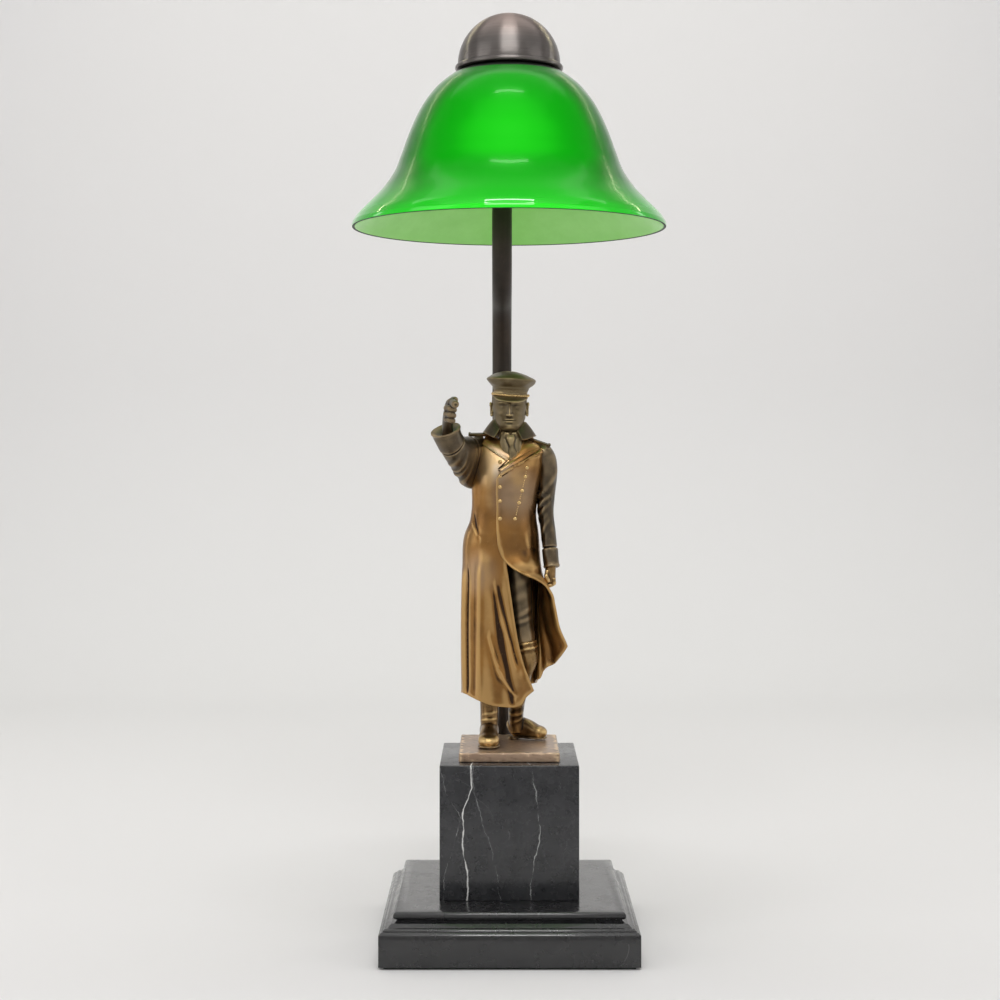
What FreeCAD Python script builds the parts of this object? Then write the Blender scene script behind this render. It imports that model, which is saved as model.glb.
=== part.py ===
"""Table lamp: a cast bronze officer on a marble plinth, with a bell-shaped glass shade.

Millimetres, +Z up. The origin is the centre of the underside of the felt, on the table.
The figure faces -Y. A bent tube stands behind it and carries the shade.
"""
import FreeCAD, Part
import math
import os

from FreeCAD import Vector

os.makedirs("parts", exist_ok=True)

# ---- base -------------------------------------------------------------------------------
felt_thickness = 1.5
felt_inset = 3.0
base_half_width = 80.0
slab_top = 22.5
base_top = 33.0
lower_step_rise = 1.6
lower_step_inset = 2.6
upper_step_rise = 2.2
upper_step_inset = 2.8
neck_rise = 1.6
neck_inset = 4.2
bead_inset = 8.5
bead_rounding = 2.4
slab_rounding = 1.2

# ---- marble plinth and the figure's plate -------------------------------------------------
plinth_half_width = 43.9
plinth_height = 85.0
plinth_bevel = 0.7
plate_half_width = 32.2
plate_depth = 75.0
plate_thickness = 6.1
plate_rounding = 1.2
plate_centre_y = 4.5

# ---- fasteners under the base --------------------------------------------------------------
thread_clearance = 0.05
tie_radius = 3.0
tie_spacing = 40.0
tie_hold = 4.6
tie_tail = 2.0
tie_washer_radius = 9.0
tie_washer_thickness = 1.5
tie_nut_flats = 10.0
tie_nut_height = 5.0
recess_radius = 11.0
recess_depth = 12.0
hole_clearance = 0.4

# ---- stem ----------------------------------------------------------------------------------
stem_radius = 6.5
stem_wall = 1.5
stem_x = -4.6
stem_gap = 1.6
stem_seat_depth = 4.0
stem_bend_bottom = 376.0
stem_bend_rise = 80.0
stem_jog_bottom = 470.0
stem_jog_rise = 40.0
pipe_thread_radius = 5.0
pipe_bore_radius = 3.7
pipe_grip = 12.0
pipe_nut_flats = 14.0
pipe_nut_height = 4.0
pipe_washer_radius = 10.0
pipe_washer_thickness = 1.5
pipe_tail = 3.0
cord_recess_radius = 13.0
cord_recess_depth = 16.5

# ---- cord gland in the back edge of the base ------------------------------------------------
gland_height = 11.0
gland_radius = 5.5
gland_bore_radius = 3.5
gland_flange_radius = 7.5
gland_flange_thickness = 2.0

# ---- glass shade ----------------------------------------------------------------------------
shade_rim_height = 460.5
shade_wall = 3.2
shade_hole_radius = 6.0
# Outer outline of the bell as (radius, height above the rim), from the crown to the rim.
shade_outline = (
    (18.0, 106.8),
    (26.0, 105.0),
    (33.0, 101.9),
    (39.4, 98.0),
    (48.2, 90.4),
    (57.0, 78.6),
    (64.5, 63.0),
    (70.4, 47.3),
    (75.6, 35.6),
    (84.4, 23.9),
    (96.6, 12.1),
    (102.4, 4.3),
    (102.6, 0.0),
)

# ---- lamp cluster under the crown --------------------------------------------------------------
seat_gap = 0.05
rubber_radius = 14.0
rubber_thickness = 1.5
carrier_radius = 16.0
carrier_thickness = 1.5
hub_radius = 14.0
hub_height = 20.0
hub_wall = 2.0
hub_drop = 20.0
top_pipe_rise = 20.0
arm_tilt = 53.0
arm_offset = 10.0
arm_drop = 7.0
arm_radius = 4.0
arm_bore_radius = 2.8
arm_start = 1.5
arm_end = 19.0
holder_start = 16.5
holder_length = 26.0
holder_radius = 13.0
holder_wall = 1.2
insert_floor = 8.0
bulb_thread_radius = 7.0
bulb_thread_wall = 0.6
bulb_thread_length = 15.0
bulb_clearance = 0.3
bulb_radius = 12.3
bulb_glass_length = 29.0
bulb_glass_wall = 0.8
bulb_neck_radius = 6.2
bulb_neck_depth = 3.0
contact_radius = 2.5
contact_height = 1.2

# ---- dome cap -------------------------------------------------------------------------------------
dome_radius = 33.5
dome_wall = 1.2
dome_bottom_drop = 4.0
bead_overhang = 1.8
bead_height = 3.6
boss_radius = 8.0

# ---- figure ------------------------------------------------------------------------------------------
# All heights of the figure are above its plate.
head_squareness = 2.1
body_squareness = 2.4
# Level outlines as (height, left, right, front, back).
coat_rings = (
    (199.9, -9.5, 11.5, -5.0, 12.0),
    (195.4, -18.0, 21.0, -8.5, 14.0),
    (187.9, -22.6, 23.5, -11.8, 16.5),
    (175.9, -24.0, 21.8, -14.2, 18.0),
    (162.9, -24.6, 19.2, -14.0, 17.6),
    (149.9, -24.8, 17.6, -13.0, 16.5),
    (137.9, -28.4, 19.4, -14.5, 18.5),
    (123.9, -29.9, 20.4, -16.0, 20.5),
    (105.9, -30.8, 20.6, -17.0, 22.0),
    (87.9, -31.2, 20.4, -17.8, 23.4),
    (69.9, -31.2, 20.0, -18.4, 24.6),
    (52.9, -31.0, 19.6, -18.8, 25.4),
    (36.4, -30.6, 19.0, -19.0, 26.0),
)
collar_rings = (
    (196.4, -13.0, 15.0, -8.6, 13.5),
    (201.4, -11.2, 12.6, -6.6, 12.0),
    (206.9, -9.4, 10.6, -1.8, 10.8),
)
head_rings = (
    (193.9, -7.5, 8.5, -5.5, 9.0),
    (200.9, -6.6, 7.8, -6.0, 8.0),
    (205.4, -7.5, 8.5, -10.5, 8.0),
    (211.4, -9.8, 10.4, -13.0, 9.5),
    (219.4, -11.0, 11.8, -13.2, 11.0),
    (228.4, -11.0, 12.0, -12.4, 11.5),
)
cap_rings = (
    (225.9, -11.6, 12.4, -13.5, 12.4),
    (230.4, -11.9, 12.9, -14.0, 12.8),
    (233.9, -13.6, 16.4, -16.0, 15.0),
    (237.4, -15.6, 18.4, -18.0, 17.0),
    (239.9, -14.6, 17.4, -17.6, 16.6),
    (243.7, -7.0, 10.6, -10.0, 9.6),
)

# Gap in the coat's front as (x, height), and the depths between which it is cut.
opening_front = -30.0
opening_back = 10.0
opening_corners = (
    (0.0, 119.4),
    (5.5, 114.4),
    (14.5, 110.9),
    (23.0, 106.9),
    (40.0, 103.9),
    (40.0, 25.9),
    (15.2, 33.9),
    (10.5, 51.9),
    (5.8, 70.9),
    (1.5, 97.9),
)

# Blown corner of the coat as (x, y, height) along its outer and inner edges, and its sweep.
flap_outer = (
    (-1.0, -15.5, 118.9),
    (6.0, -16.5, 113.9),
    (15.0, -16.0, 110.8),
    (22.0, -14.0, 106.9),
    (27.0, -12.0, 99.9),
    (30.5, -10.0, 89.9),
    (34.0, -8.0, 76.9),
    (38.2, -6.0, 64.9),
)
flap_inner = (
    (0.5, -13.0, 115.4),
    (7.0, -13.0, 109.4),
    (14.0, -12.0, 104.9),
    (18.0, -10.0, 97.9),
    (19.5, -8.0, 87.9),
    (21.0, -6.0, 75.9),
    (22.0, -4.0, 63.9),
    (24.0, -2.0, 50.4),
)
flap_sweep = (0.6, 4.0, 0.8)

# Limbs as (x, y, height, half width, half depth) from their upper or inner end.
leg_stations = (
    (6.0, 2.0, 125.9, 11.0, 10.0),
    (9.0, 0.0, 97.9, 10.0, 9.5),
    (12.5, -2.0, 65.9, 8.2, 8.0),
    (9.0, 7.0, 41.9, 6.5, 7.0),
    (3.5, 19.0, 22.9, 5.4, 6.0),
)
pointing_sleeve_stations = (
    (-17.0, 4.0, 186.9, 9.5, 10.0),
    (-22.5, -4.0, 181.4, 8.6, 10.5),
    (-28.5, -18.0, 184.9, 8.0, 9.5),
    (-33.0, -33.0, 194.4, 7.8, 8.4),
    (-35.5, -43.0, 201.9, 8.6, 8.4),
)
pointing_palm_stations = (
    (-35.2, -42.0, 200.9, 4.6, 4.2),
    (-36.2, -48.0, 206.9, 5.4, 4.4),
    (-36.4, -54.0, 214.9, 5.6, 4.6),
    (-35.8, -58.0, 220.4, 4.6, 3.6),
)
pointing_finger_stations = (
    (-34.0, -54.0, 218.4, 2.2, 2.4),
    (-34.0, -64.0, 219.9, 2.0, 2.1),
    (-34.2, -73.0, 220.5, 1.6, 1.7),
)
hanging_sleeve_stations = (
    (19.0, 4.0, 191.9, 7.0, 9.0),
    (24.4, 3.0, 180.9, 7.2, 9.4),
    (24.6, 2.0, 160.9, 6.4, 8.4),
    (25.0, 0.0, 143.9, 5.8, 7.4),
    (27.4, -4.0, 125.9, 5.6, 6.8),
    (27.8, -6.0, 115.9, 5.5, 6.4),
)
hanging_hand_stations = (
    (27.0, -5.6, 117.9, 3.6, 4.0),
    (26.4, -6.5, 111.9, 4.2, 4.8),
    (26.2, -7.0, 106.4, 4.0, 4.6),
    (26.0, -7.0, 102.7, 2.2, 2.8),
)

# Boots: heel and toe on the plate, ankle and top of the shaft, and half the ball's width.
standing_heel = (-13.0, 16.0, 0.0)
standing_toe = (-13.0, -20.5, 0.0)
standing_ankle = (-12.5, 9.0, 13.9)
standing_top = (-12.0, 9.0, 43.9)
standing_half_width = 6.8
striding_heel = (0.0, 25.5, 0.0)
striding_toe = (24.5, 18.0, 0.0)
striding_ankle = (3.0, 24.0, 13.9)
striding_top = (4.0, 18.0, 35.9)
striding_half_width = 5.8
foot_rises = (7.0, 9.0, 10.0, 7.6, 5.6, 3.4)
shaft_flare = 0.6
sole_lift = 0.5

# Peak of the cap: a round disc cut between two sloping planes.
visor_radius = 11.6
visor_x = 0.4
visor_y = -10.6
visor_bottom = 222.9
visor_top = 227.5
visor_slope = 20.0
visor_hinge_y = -9.0
visor_hinge_height = 226.3
strap_thickness = 1.6

# Shoulder boards.
epaulette_y = 3.0
epaulette_half_width = 4.6
epaulette_inlay = 2.5
epaulette_inner_height = 199.4
epaulette_outer_height = 192.4
epaulette_left_ends = (-7.0, -23.0)
epaulette_right_ends = (8.5, 25.0)

# Buttons as (x, height), and their studs.
button_radius = 1.25
button_stand = 0.9
button_length = 4.0
button_places = (
    (-6.6, 183.9),
    (-6.0, 175.5),
    (-6.0, 168.5),
    (-6.0, 159.5),
    (-5.6, 147.9),
    (12.0, 180.5),
    (10.8, 174.5),
    (8.5, 165.5),
    (6.8, 157.5),
    (4.0, 147.3),
)


# ======================================================================================================
# helpers
# ======================================================================================================
def save(shape, node):
    """Write one piece of the lamp to its own file."""
    shape.exportStep("parts/" + node + ".step")


def cylinder(radius, bottom, top, x=0.0, y=0.0):
    return Part.makeCylinder(radius, top - bottom, Vector(x, y, bottom))


def ring(outer, inner, bottom, top, x=0.0, y=0.0):
    return cylinder(outer, bottom, top, x, y).cut(cylinder(inner, bottom, top, x, y))


def square_block(half_width, bottom, top):
    corner = Vector(-half_width, -half_width, bottom)
    return Part.makeBox(2 * half_width, 2 * half_width, top - bottom, corner)


def hex_nut(flats, bore, bottom, top, x=0.0, y=0.0):
    corner_radius = flats / math.sqrt(3)
    corners = []
    for index in range(7):
        angle = math.radians(60 * index)
        corners.append(Vector(x + corner_radius * math.cos(angle), y + corner_radius * math.sin(angle), bottom))
    prism = Part.Face(Part.makePolygon(corners)).extrude(Vector(0, 0, top - bottom))
    return prism.cut(cylinder(bore, bottom, top, x, y))


def horizontal_edges(shape, height):
    """Straight or curved edges that lie flat at one height."""
    found = []
    for edge in shape.Edges:
        box = edge.BoundBox
        if abs(box.ZMin - height) < 1e-4 and abs(box.ZMax - height) < 1e-4:
            found.append(edge)
    return found


def revolved(wire):
    return Part.Face(wire).revolve(Vector(0, 0, 0), Vector(0, 0, 1), 360)


def closed_wire(edges):
    return Part.Wire(Part.__sortEdges__(edges))


def spline(points, start_tangent=None, end_tangent=None):
    curve = Part.BSplineCurve()
    if start_tangent is None:
        curve.interpolate(points)
    else:
        curve.interpolate(Points=points, InitialTangent=start_tangent, FinalTangent=end_tangent)
    return curve


def oval(centre, half_width, half_depth, across=Vector(1, 0, 0), deep=Vector(0, 1, 0), squareness=2.3):
    """A closed rounded outline; a squareness of 2 is an ellipse, more is boxier."""
    points = []
    count = 16
    for index in range(count):
        angle = 2 * math.pi * index / count
        cosine = math.cos(angle)
        sine = math.sin(angle)
        along = math.copysign(abs(cosine) ** (2 / squareness), cosine) * half_width
        back = math.copysign(abs(sine) ** (2 / squareness), sine) * half_depth
        points.append(centre + across * along + deep * back)
    curve = Part.BSplineCurve()
    curve.interpolate(Points=points, PeriodicFlag=True)
    return Part.Wire(curve.toShape())


def loft(wires):
    return Part.makeLoft(list(wires), True, False)


def on_plate(x, y, height):
    return Vector(x, y, plate_top + height)


def tapered_limb(stations):
    """A limb through (x, y, height, half width, half depth) stations, each cut square to its run."""
    centres = [on_plate(*station[:3]) for station in stations]
    wires = []
    last = len(stations) - 1
    for index, (half_width, half_depth) in enumerate(station[3:] for station in stations):
        run = (centres[min(index + 1, last)] - centres[max(index - 1, 0)]).normalize()
        deep = run.cross(Vector(1, 0, 0)).normalize()
        across = deep.cross(run).normalize()
        wires.append(oval(centres[index], half_width, half_depth, across, deep))
    return loft(wires)


def single(shape):
    """The largest solid of a cut, as one clean solid."""
    return max(shape.Solids, key=lambda solid: solid.Volume)


# ======================================================================================================
# base, plinth and plate
# ======================================================================================================
plinth_top = base_top + plinth_height
plate_top = plinth_top + plate_thickness
stem_y = plinth_half_width + stem_radius + stem_gap
tie_places = ((-tie_spacing / 2, plate_centre_y), (tie_spacing / 2, plate_centre_y))
recess_top = felt_thickness + recess_depth
cord_recess_top = felt_thickness + cord_recess_depth


def base_board():
    """Lacquered board with a stepped and beaded moulding round its top."""
    slab = square_block(base_half_width, felt_thickness, slab_top)
    slab = slab.makeFillet(slab_rounding, horizontal_edges(slab, slab_top))
    lower_top = slab_top + lower_step_rise
    upper_top = lower_top + upper_step_rise
    neck_top = upper_top + neck_rise
    board = slab.fuse(square_block(base_half_width - lower_step_inset, slab_top - 1, lower_top))
    upper_half = base_half_width - lower_step_inset - upper_step_inset
    board = board.fuse(square_block(upper_half, lower_top - 1, upper_top))
    board = board.fuse(square_block(upper_half - neck_inset, upper_top - 1, neck_top))
    bead = square_block(base_half_width - bead_inset, neck_top, base_top)
    rounded = horizontal_edges(bead, base_top) + horizontal_edges(bead, neck_top)
    bead_limit = 0.46 * (base_top - neck_top)
    board = board.fuse(bead.makeFillet(min(bead_rounding, bead_limit), rounded)).removeSplitter()
    for x, y in tie_places:
        board = board.cut(cylinder(recess_radius, felt_thickness, recess_top, x, y))
        board = board.cut(cylinder(tie_radius + hole_clearance, felt_thickness, base_top, x, y))
    board = board.cut(cylinder(cord_recess_radius, felt_thickness, cord_recess_top, stem_x, stem_y))
    board = board.cut(cylinder(pipe_thread_radius + hole_clearance, felt_thickness, base_top, stem_x, stem_y))
    seat_bottom = base_top - stem_seat_depth
    board = board.cut(cylinder(stem_radius + thread_clearance, seat_bottom, base_top, stem_x, stem_y))
    back = Vector(0, 1, 0)
    gland_way = base_half_width - stem_y
    gland_hole = Part.makeCylinder(gland_radius, gland_way, Vector(stem_x, stem_y, gland_height), back)
    flange_start = base_half_width - gland_flange_thickness
    flange_place = Vector(stem_x, flange_start, gland_height)
    flange_hole = Part.makeCylinder(gland_flange_radius, gland_flange_thickness, flange_place, back)
    return single(board.cut(gland_hole).cut(flange_hole))


def base_felt():
    return square_block(base_half_width - felt_inset, 0, felt_thickness)


def cord_gland():
    """Flanged bush through which the mains lead enters the back of the base."""
    back = Vector(0, 1, 0)
    recess_wall = stem_y + math.sqrt(cord_recess_radius ** 2 - gland_radius ** 2)
    start = recess_wall + thread_clearance
    length = base_half_width - start
    body = Part.makeCylinder(gland_radius, length, Vector(stem_x, start, gland_height), back)
    flange_start = base_half_width - gland_flange_thickness
    flange_place = Vector(stem_x, flange_start, gland_height)
    flange = Part.makeCylinder(gland_flange_radius, gland_flange_thickness, flange_place, back)
    bore = Part.makeCylinder(gland_bore_radius, length, Vector(stem_x, start, gland_height), back)
    return body.fuse(flange).cut(bore).removeSplitter()


def marble_plinth():
    block = square_block(plinth_half_width, base_top, plinth_top)
    block = block.makeChamfer(plinth_bevel, block.Edges)
    for x, y in tie_places:
        block = block.cut(cylinder(tie_radius + hole_clearance, base_top, plinth_top, x, y))
    return block


def figure_plate():
    corner = Vector(-plate_half_width, plate_centre_y - plate_depth / 2, plinth_top)
    plate = Part.makeBox(2 * plate_half_width, plate_depth, plate_thickness, corner)
    plate = plate.makeFillet(plate_rounding, horizontal_edges(plate, plate_top))
    for x, y in tie_places:
        plate = plate.cut(cylinder(tie_radius + thread_clearance, plinth_top, plinth_top + tie_hold, x, y))
    return plate


def tie_fasteners():
    """Rods that draw plate, plinth and base together, with their washers and nuts."""
    rods = []
    washers = []
    nuts = []
    washer_bottom = recess_top - tie_washer_thickness
    nut_bottom = washer_bottom - tie_nut_height
    for x, y in tie_places:
        rods.append(cylinder(tie_radius, nut_bottom - tie_tail, plinth_top + tie_hold, x, y))
        washers.append(ring(tie_washer_radius, tie_radius + hole_clearance, washer_bottom, recess_top, x, y))
        nuts.append(hex_nut(tie_nut_flats, tie_radius + thread_clearance, nut_bottom, washer_bottom, x, y))
    return rods, washers, nuts


# ======================================================================================================
# stem and its fastening
# ======================================================================================================
crown_top = shade_rim_height + shade_outline[0][1]
crown_bottom = crown_top - shade_wall
rubber_bottom = crown_bottom - seat_gap - rubber_thickness
carrier_bottom = rubber_bottom - carrier_thickness
hub_top = crown_bottom - hub_drop
hub_bottom = hub_top - hub_height


def double_bend(start, shift, rise):
    """Two equal arcs that move a rising line sideways by shift and carry it up by rise."""
    side = shift.Length
    middle = start + shift * 0.5 + Vector(0, 0, rise / 2)
    end = start + shift + Vector(0, 0, rise)
    radius = (rise * rise + side * side) / (4 * side)
    turn = math.asin(rise / (2 * radius))
    outward = Vector(shift).normalize()
    half_side = radius * (1 - math.cos(turn / 2))
    half_rise = radius * math.sin(turn / 2)
    first = start + outward * half_side + Vector(0, 0, half_rise)
    second = end - outward * half_side - Vector(0, 0, half_rise)
    return Part.Arc(start, first, middle).toShape(), Part.Arc(middle, second, end).toShape()


def stem_path():
    foot = Vector(stem_x, stem_y, base_top - stem_seat_depth)
    bend_start = Vector(stem_x, stem_y, stem_bend_bottom)
    bend_edges = double_bend(bend_start, Vector(0, -stem_y, 0), stem_bend_rise)
    bend_end = Vector(stem_x, 0, stem_bend_bottom + stem_bend_rise)
    jog_start = Vector(stem_x, 0, stem_jog_bottom)
    jog_edges = double_bend(jog_start, Vector(-stem_x, 0, 0), stem_jog_rise)
    jog_end = Vector(0, 0, stem_jog_bottom + stem_jog_rise)
    head = Vector(0, 0, hub_bottom + hub_wall)
    edges = [Part.LineSegment(foot, bend_start).toShape()]
    edges.extend(bend_edges)
    edges.append(Part.LineSegment(bend_end, jog_start).toShape())
    edges.extend(jog_edges)
    edges.append(Part.LineSegment(jog_end, head).toShape())
    return Part.Wire(edges)


def stem_tube():
    path = stem_path()
    foot = path.OrderedVertexes[0].Point
    outer = Part.Wire(Part.Circle(foot, Vector(0, 0, 1), stem_radius).toShape())
    inner = Part.Wire(Part.Circle(foot, Vector(0, 0, 1), stem_radius - stem_wall).toShape())
    return path.makePipeShell([outer], True, False).cut(path.makePipeShell([inner], True, False))


def stem_fasteners():
    """Threaded pipe in the foot of the stem, with the washer and nut that hold it down."""
    washer_bottom = cord_recess_top - pipe_washer_thickness
    nut_bottom = washer_bottom - pipe_nut_height
    pipe_top = base_top - stem_seat_depth + pipe_grip
    thread = min(pipe_thread_radius, stem_radius - stem_wall) - thread_clearance
    pipe = ring(thread, pipe_bore_radius, nut_bottom - pipe_tail, pipe_top, stem_x, stem_y)
    hole = pipe_thread_radius + hole_clearance
    washer = ring(pipe_washer_radius, hole, washer_bottom, cord_recess_top, stem_x, stem_y)
    nut = hex_nut(pipe_nut_flats, pipe_thread_radius, nut_bottom, washer_bottom, stem_x, stem_y)
    return pipe, washer, nut


# ======================================================================================================
# lamp cluster
# ======================================================================================================
def hub_parts():
    """Hollow brass hub on top of the stem, and its lid."""
    body = cylinder(hub_radius, hub_bottom, hub_top - hub_wall)
    body = body.cut(cylinder(hub_radius - hub_wall, hub_bottom + hub_wall, hub_top - hub_wall))
    body = body.cut(cylinder(stem_radius + thread_clearance, hub_bottom, hub_bottom + hub_wall))
    lid = ring(hub_radius, pipe_thread_radius + thread_clearance, hub_top - hub_wall, hub_top)
    for side in (-1, 1):
        body = body.cut(along_arm(arm_rod(arm_radius + thread_clearance, 0, arm_end), side))
    return body, lid


def arm_rod(radius, start, end):
    """A cylinder along +Z, measured from the arm's own start point."""
    return cylinder(radius, start, end)


def along_arm(shape, side):
    """Turn a piece made along +Z so that it points down and out from the hub."""
    placed = shape.copy()
    direction = Vector(side * math.cos(math.radians(arm_tilt)), 0, -math.sin(math.radians(arm_tilt)))
    turn = FreeCAD.Rotation(Vector(0, 0, 1), direction)
    start = Vector(side * arm_offset, 0, hub_top - arm_drop)
    placed.Placement = FreeCAD.Placement(start, turn).multiply(placed.Placement)
    return placed


def holder_shell():
    end = holder_start + holder_length
    shell = cylinder(holder_radius, holder_start, end)
    shell = shell.cut(cylinder(holder_radius - holder_wall, holder_start + holder_wall, end))
    return shell.cut(arm_rod(arm_radius + thread_clearance, holder_start, holder_start + holder_wall))


def holder_insert():
    """Ceramic core with the threaded well for the bulb."""
    start = holder_start + holder_wall + arm_radius / 2
    end = holder_start + holder_length - holder_wall
    well = holder_start + holder_wall + insert_floor
    core = cylinder(holder_radius - holder_wall - thread_clearance, start, end)
    return core.cut(cylinder(bulb_thread_radius + bulb_clearance, well, end))


def contact_button():
    well = holder_start + holder_wall + insert_floor
    return cylinder(contact_radius, well, well + contact_height)


def bulb_cap():
    start = holder_start + holder_wall + insert_floor + contact_height + bulb_clearance
    end = start + bulb_thread_length
    cap = cylinder(bulb_thread_radius, start, end)
    return cap.cut(cylinder(bulb_thread_radius - bulb_thread_wall, start + bulb_thread_wall, end)), end


def bulb_outline(radius, neck, start, shoulder, end):
    """Half outline of a pear bulb as an edge list: neck, shoulder curve and round end."""
    centre = end - radius
    neck_point = Vector(neck, 0, shoulder)
    side_point = Vector(radius, 0, centre)
    tip = Vector(0, 0, end)
    diagonal = radius / math.sqrt(2)
    edges = [Part.LineSegment(Vector(0, 0, start), Vector(neck, 0, start)).toShape()]
    edges.append(Part.LineSegment(Vector(neck, 0, start), neck_point).toShape())
    edges.append(spline([neck_point, side_point], Vector(0, 0, 1), Vector(0, 0, 1)).toShape())
    edges.append(Part.Arc(side_point, Vector(diagonal, 0, centre + diagonal), tip).toShape())
    edges.append(Part.LineSegment(tip, Vector(0, 0, start)).toShape())
    return revolved(Part.Wire(edges))


def bulb_glass():
    cap_end = bulb_cap()[1]
    start = cap_end - bulb_neck_depth
    end = cap_end + bulb_glass_length
    outer = bulb_outline(bulb_radius, bulb_neck_radius, start, cap_end, end)
    thin = bulb_glass_wall
    inner = bulb_outline(bulb_radius - thin, bulb_neck_radius - thin, start, cap_end, end - thin)
    return outer.cut(inner)


# ======================================================================================================
# shade and what holds it
# ======================================================================================================
def glass_shade():
    """Blown bell with a flat crown; the inner face lies one wall inside the outer one."""
    outer_points = [Vector(radius, 0, shade_rim_height + height) for radius, height in shade_outline]
    outer = spline(outer_points, Vector(1, 0, 0), Vector(0, 0, -1))
    count = 2 * len(shade_outline)
    inner_points = []
    for index in range(count + 1):
        where = outer.FirstParameter + (outer.LastParameter - outer.FirstParameter) * index / count
        point = outer.value(where)
        tangent = outer.tangent(where)[0]
        inward = Vector(tangent.z, 0, -tangent.x)
        inner_points.append(point + inward * shade_wall)
    inner = spline(inner_points, Vector(1, 0, 0), Vector(0, 0, -1))
    crown_outer = Vector(shade_hole_radius, 0, crown_top)
    crown_inner = Vector(shade_hole_radius, 0, crown_bottom)
    edges = [Part.LineSegment(crown_outer, outer_points[0]).toShape(), outer.toShape()]
    edges.append(Part.LineSegment(outer_points[-1], inner_points[-1]).toShape())
    edges.append(inner.toShape())
    edges.append(Part.LineSegment(inner_points[0], crown_inner).toShape())
    edges.append(Part.LineSegment(crown_inner, crown_outer).toShape())
    return revolved(closed_wire(edges))


def crown_hardware():
    """Threaded pipe, carrier disc, its nut and the two rubber washers."""
    bore = pipe_thread_radius + thread_clearance
    pipe_bottom = hub_top - hub_wall - pipe_nut_height
    pipe = ring(pipe_thread_radius, pipe_bore_radius, pipe_bottom, crown_top + top_pipe_rise)
    carrier = ring(carrier_radius, bore, carrier_bottom, rubber_bottom)
    nut = hex_nut(pipe_nut_flats, bore, carrier_bottom - pipe_nut_height, carrier_bottom)
    lower = ring(rubber_radius, bore, rubber_bottom, rubber_bottom + rubber_thickness)
    upper_bottom = crown_top + seat_gap
    upper = ring(rubber_radius, bore, upper_bottom, upper_bottom + rubber_thickness)
    return pipe, carrier, nut, lower, upper


def dome_solid(radius, overhang, bottom, centre):
    """Solid dome: a hemisphere over a short skirt that ends in a rounded bead."""
    top = Vector(0, 0, centre + radius)
    diagonal = radius / math.sqrt(2)
    shoulder = Vector(radius, 0, centre)
    edges = [Part.Arc(top, Vector(diagonal, 0, centre + diagonal), shoulder).toShape()]
    bead_out = Vector(radius + overhang, 0, (centre + bottom) / 2)
    foot = Vector(radius, 0, bottom)
    if overhang > 0:
        edges.append(Part.Arc(shoulder, bead_out, foot).toShape())
    else:
        edges.append(Part.LineSegment(shoulder, foot).toShape())
    edges.append(Part.LineSegment(foot, Vector(0, 0, bottom)).toShape())
    edges.append(Part.LineSegment(Vector(0, 0, bottom), top).toShape())
    return revolved(Part.Wire(edges))


def cap_parts():
    """Spun dome with a beaded edge, and the threaded boss brazed inside it."""
    bottom = crown_top - dome_bottom_drop
    centre = bottom + bead_height
    inside = dome_solid(dome_radius - dome_wall, 0, bottom, centre)
    dome = dome_solid(dome_radius, bead_overhang, bottom, centre).cut(inside)
    boss_bottom = crown_top + 2 * seat_gap + rubber_thickness
    boss = cylinder(boss_radius, boss_bottom, centre + dome_radius).common(inside)
    hole_top = crown_top + top_pipe_rise + hole_clearance
    boss = boss.cut(cylinder(pipe_thread_radius + thread_clearance, boss_bottom, hole_top))
    return dome, boss


# ======================================================================================================
# cast figure
# ======================================================================================================
def stacked(rings, squareness):
    """A body lofted through level outlines, each given by its height and four extremes."""
    wires = []
    for height, left, right, front, back in rings:
        centre = on_plate((left + right) / 2, (front + back) / 2, height)
        wires.append(oval(centre, (right - left) / 2, (back - front) / 2, squareness=squareness))
    return loft(wires)


def skirt_opening():
    """The gap where the blown front of the coat shows the leg behind it."""
    corners = [on_plate(x, opening_front, height) for x, height in opening_corners]
    corners.append(corners[0])
    return Part.Face(Part.makePolygon(corners)).extrude(Vector(0, opening_back - opening_front, 0))


def coat_flap():
    """Corner of the coat blown out to the side, as a folded sheet."""
    outer_edge = spline([on_plate(*point) for point in flap_outer]).toShape()
    inner_edge = spline([on_plate(*point) for point in flap_inner]).toShape()
    return Part.makeRuledSurface(outer_edge, inner_edge).extrude(Vector(*flap_sweep))


def boot(heel, toe, ankle, top, half_width):
    """A boot from its shaft down to a rounded foot on the plate."""
    shaft = tapered_limb((
        (*top, half_width + shaft_flare, half_width + 2 * shaft_flare),
        (*ankle, half_width - shaft_flare / 2, half_width + shaft_flare),
        (ankle[0], ankle[1], sole_lift, half_width - shaft_flare / 2, half_width + 2 * shaft_flare),
    ))
    start = on_plate(*heel)
    run = on_plate(*toe) - start
    up = Vector(0, 0, 1)
    side = up.cross(run).normalize()
    shares = ((0.0, 0.62), (0.12, 0.84), (0.4, 0.86), (0.65, 1.0), (0.86, 0.92), (1.0, 0.42))
    wires = []
    for (along, width_share), rise in zip(shares, foot_rises):
        centre = start + run * along + up * rise / 2
        wires.append(oval(centre, half_width * width_share, rise / 2, side, up, 2.8))
    return shaft.fuse(loft(wires)).removeSplitter()


def cap_visor():
    """Short sloping peak at the front of the cap."""
    peak = cylinder(visor_radius, plate_top + visor_bottom, plate_top + visor_top, visor_x, visor_y)
    reach = 4 * visor_radius
    slab_height = visor_top - visor_bottom + strap_thickness
    slope = Part.makeBox(reach, reach, slab_height, Vector(-reach / 2, -reach, 0))
    slope.rotate(Vector(0, 0, 0), Vector(1, 0, 0), visor_slope)
    slope.translate(on_plate(visor_x, visor_hinge_y, visor_hinge_height))
    under = slope.copy()
    under.translate(Vector(0, 0, -slab_height - strap_thickness))
    return peak.cut(slope).cut(under)


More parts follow.
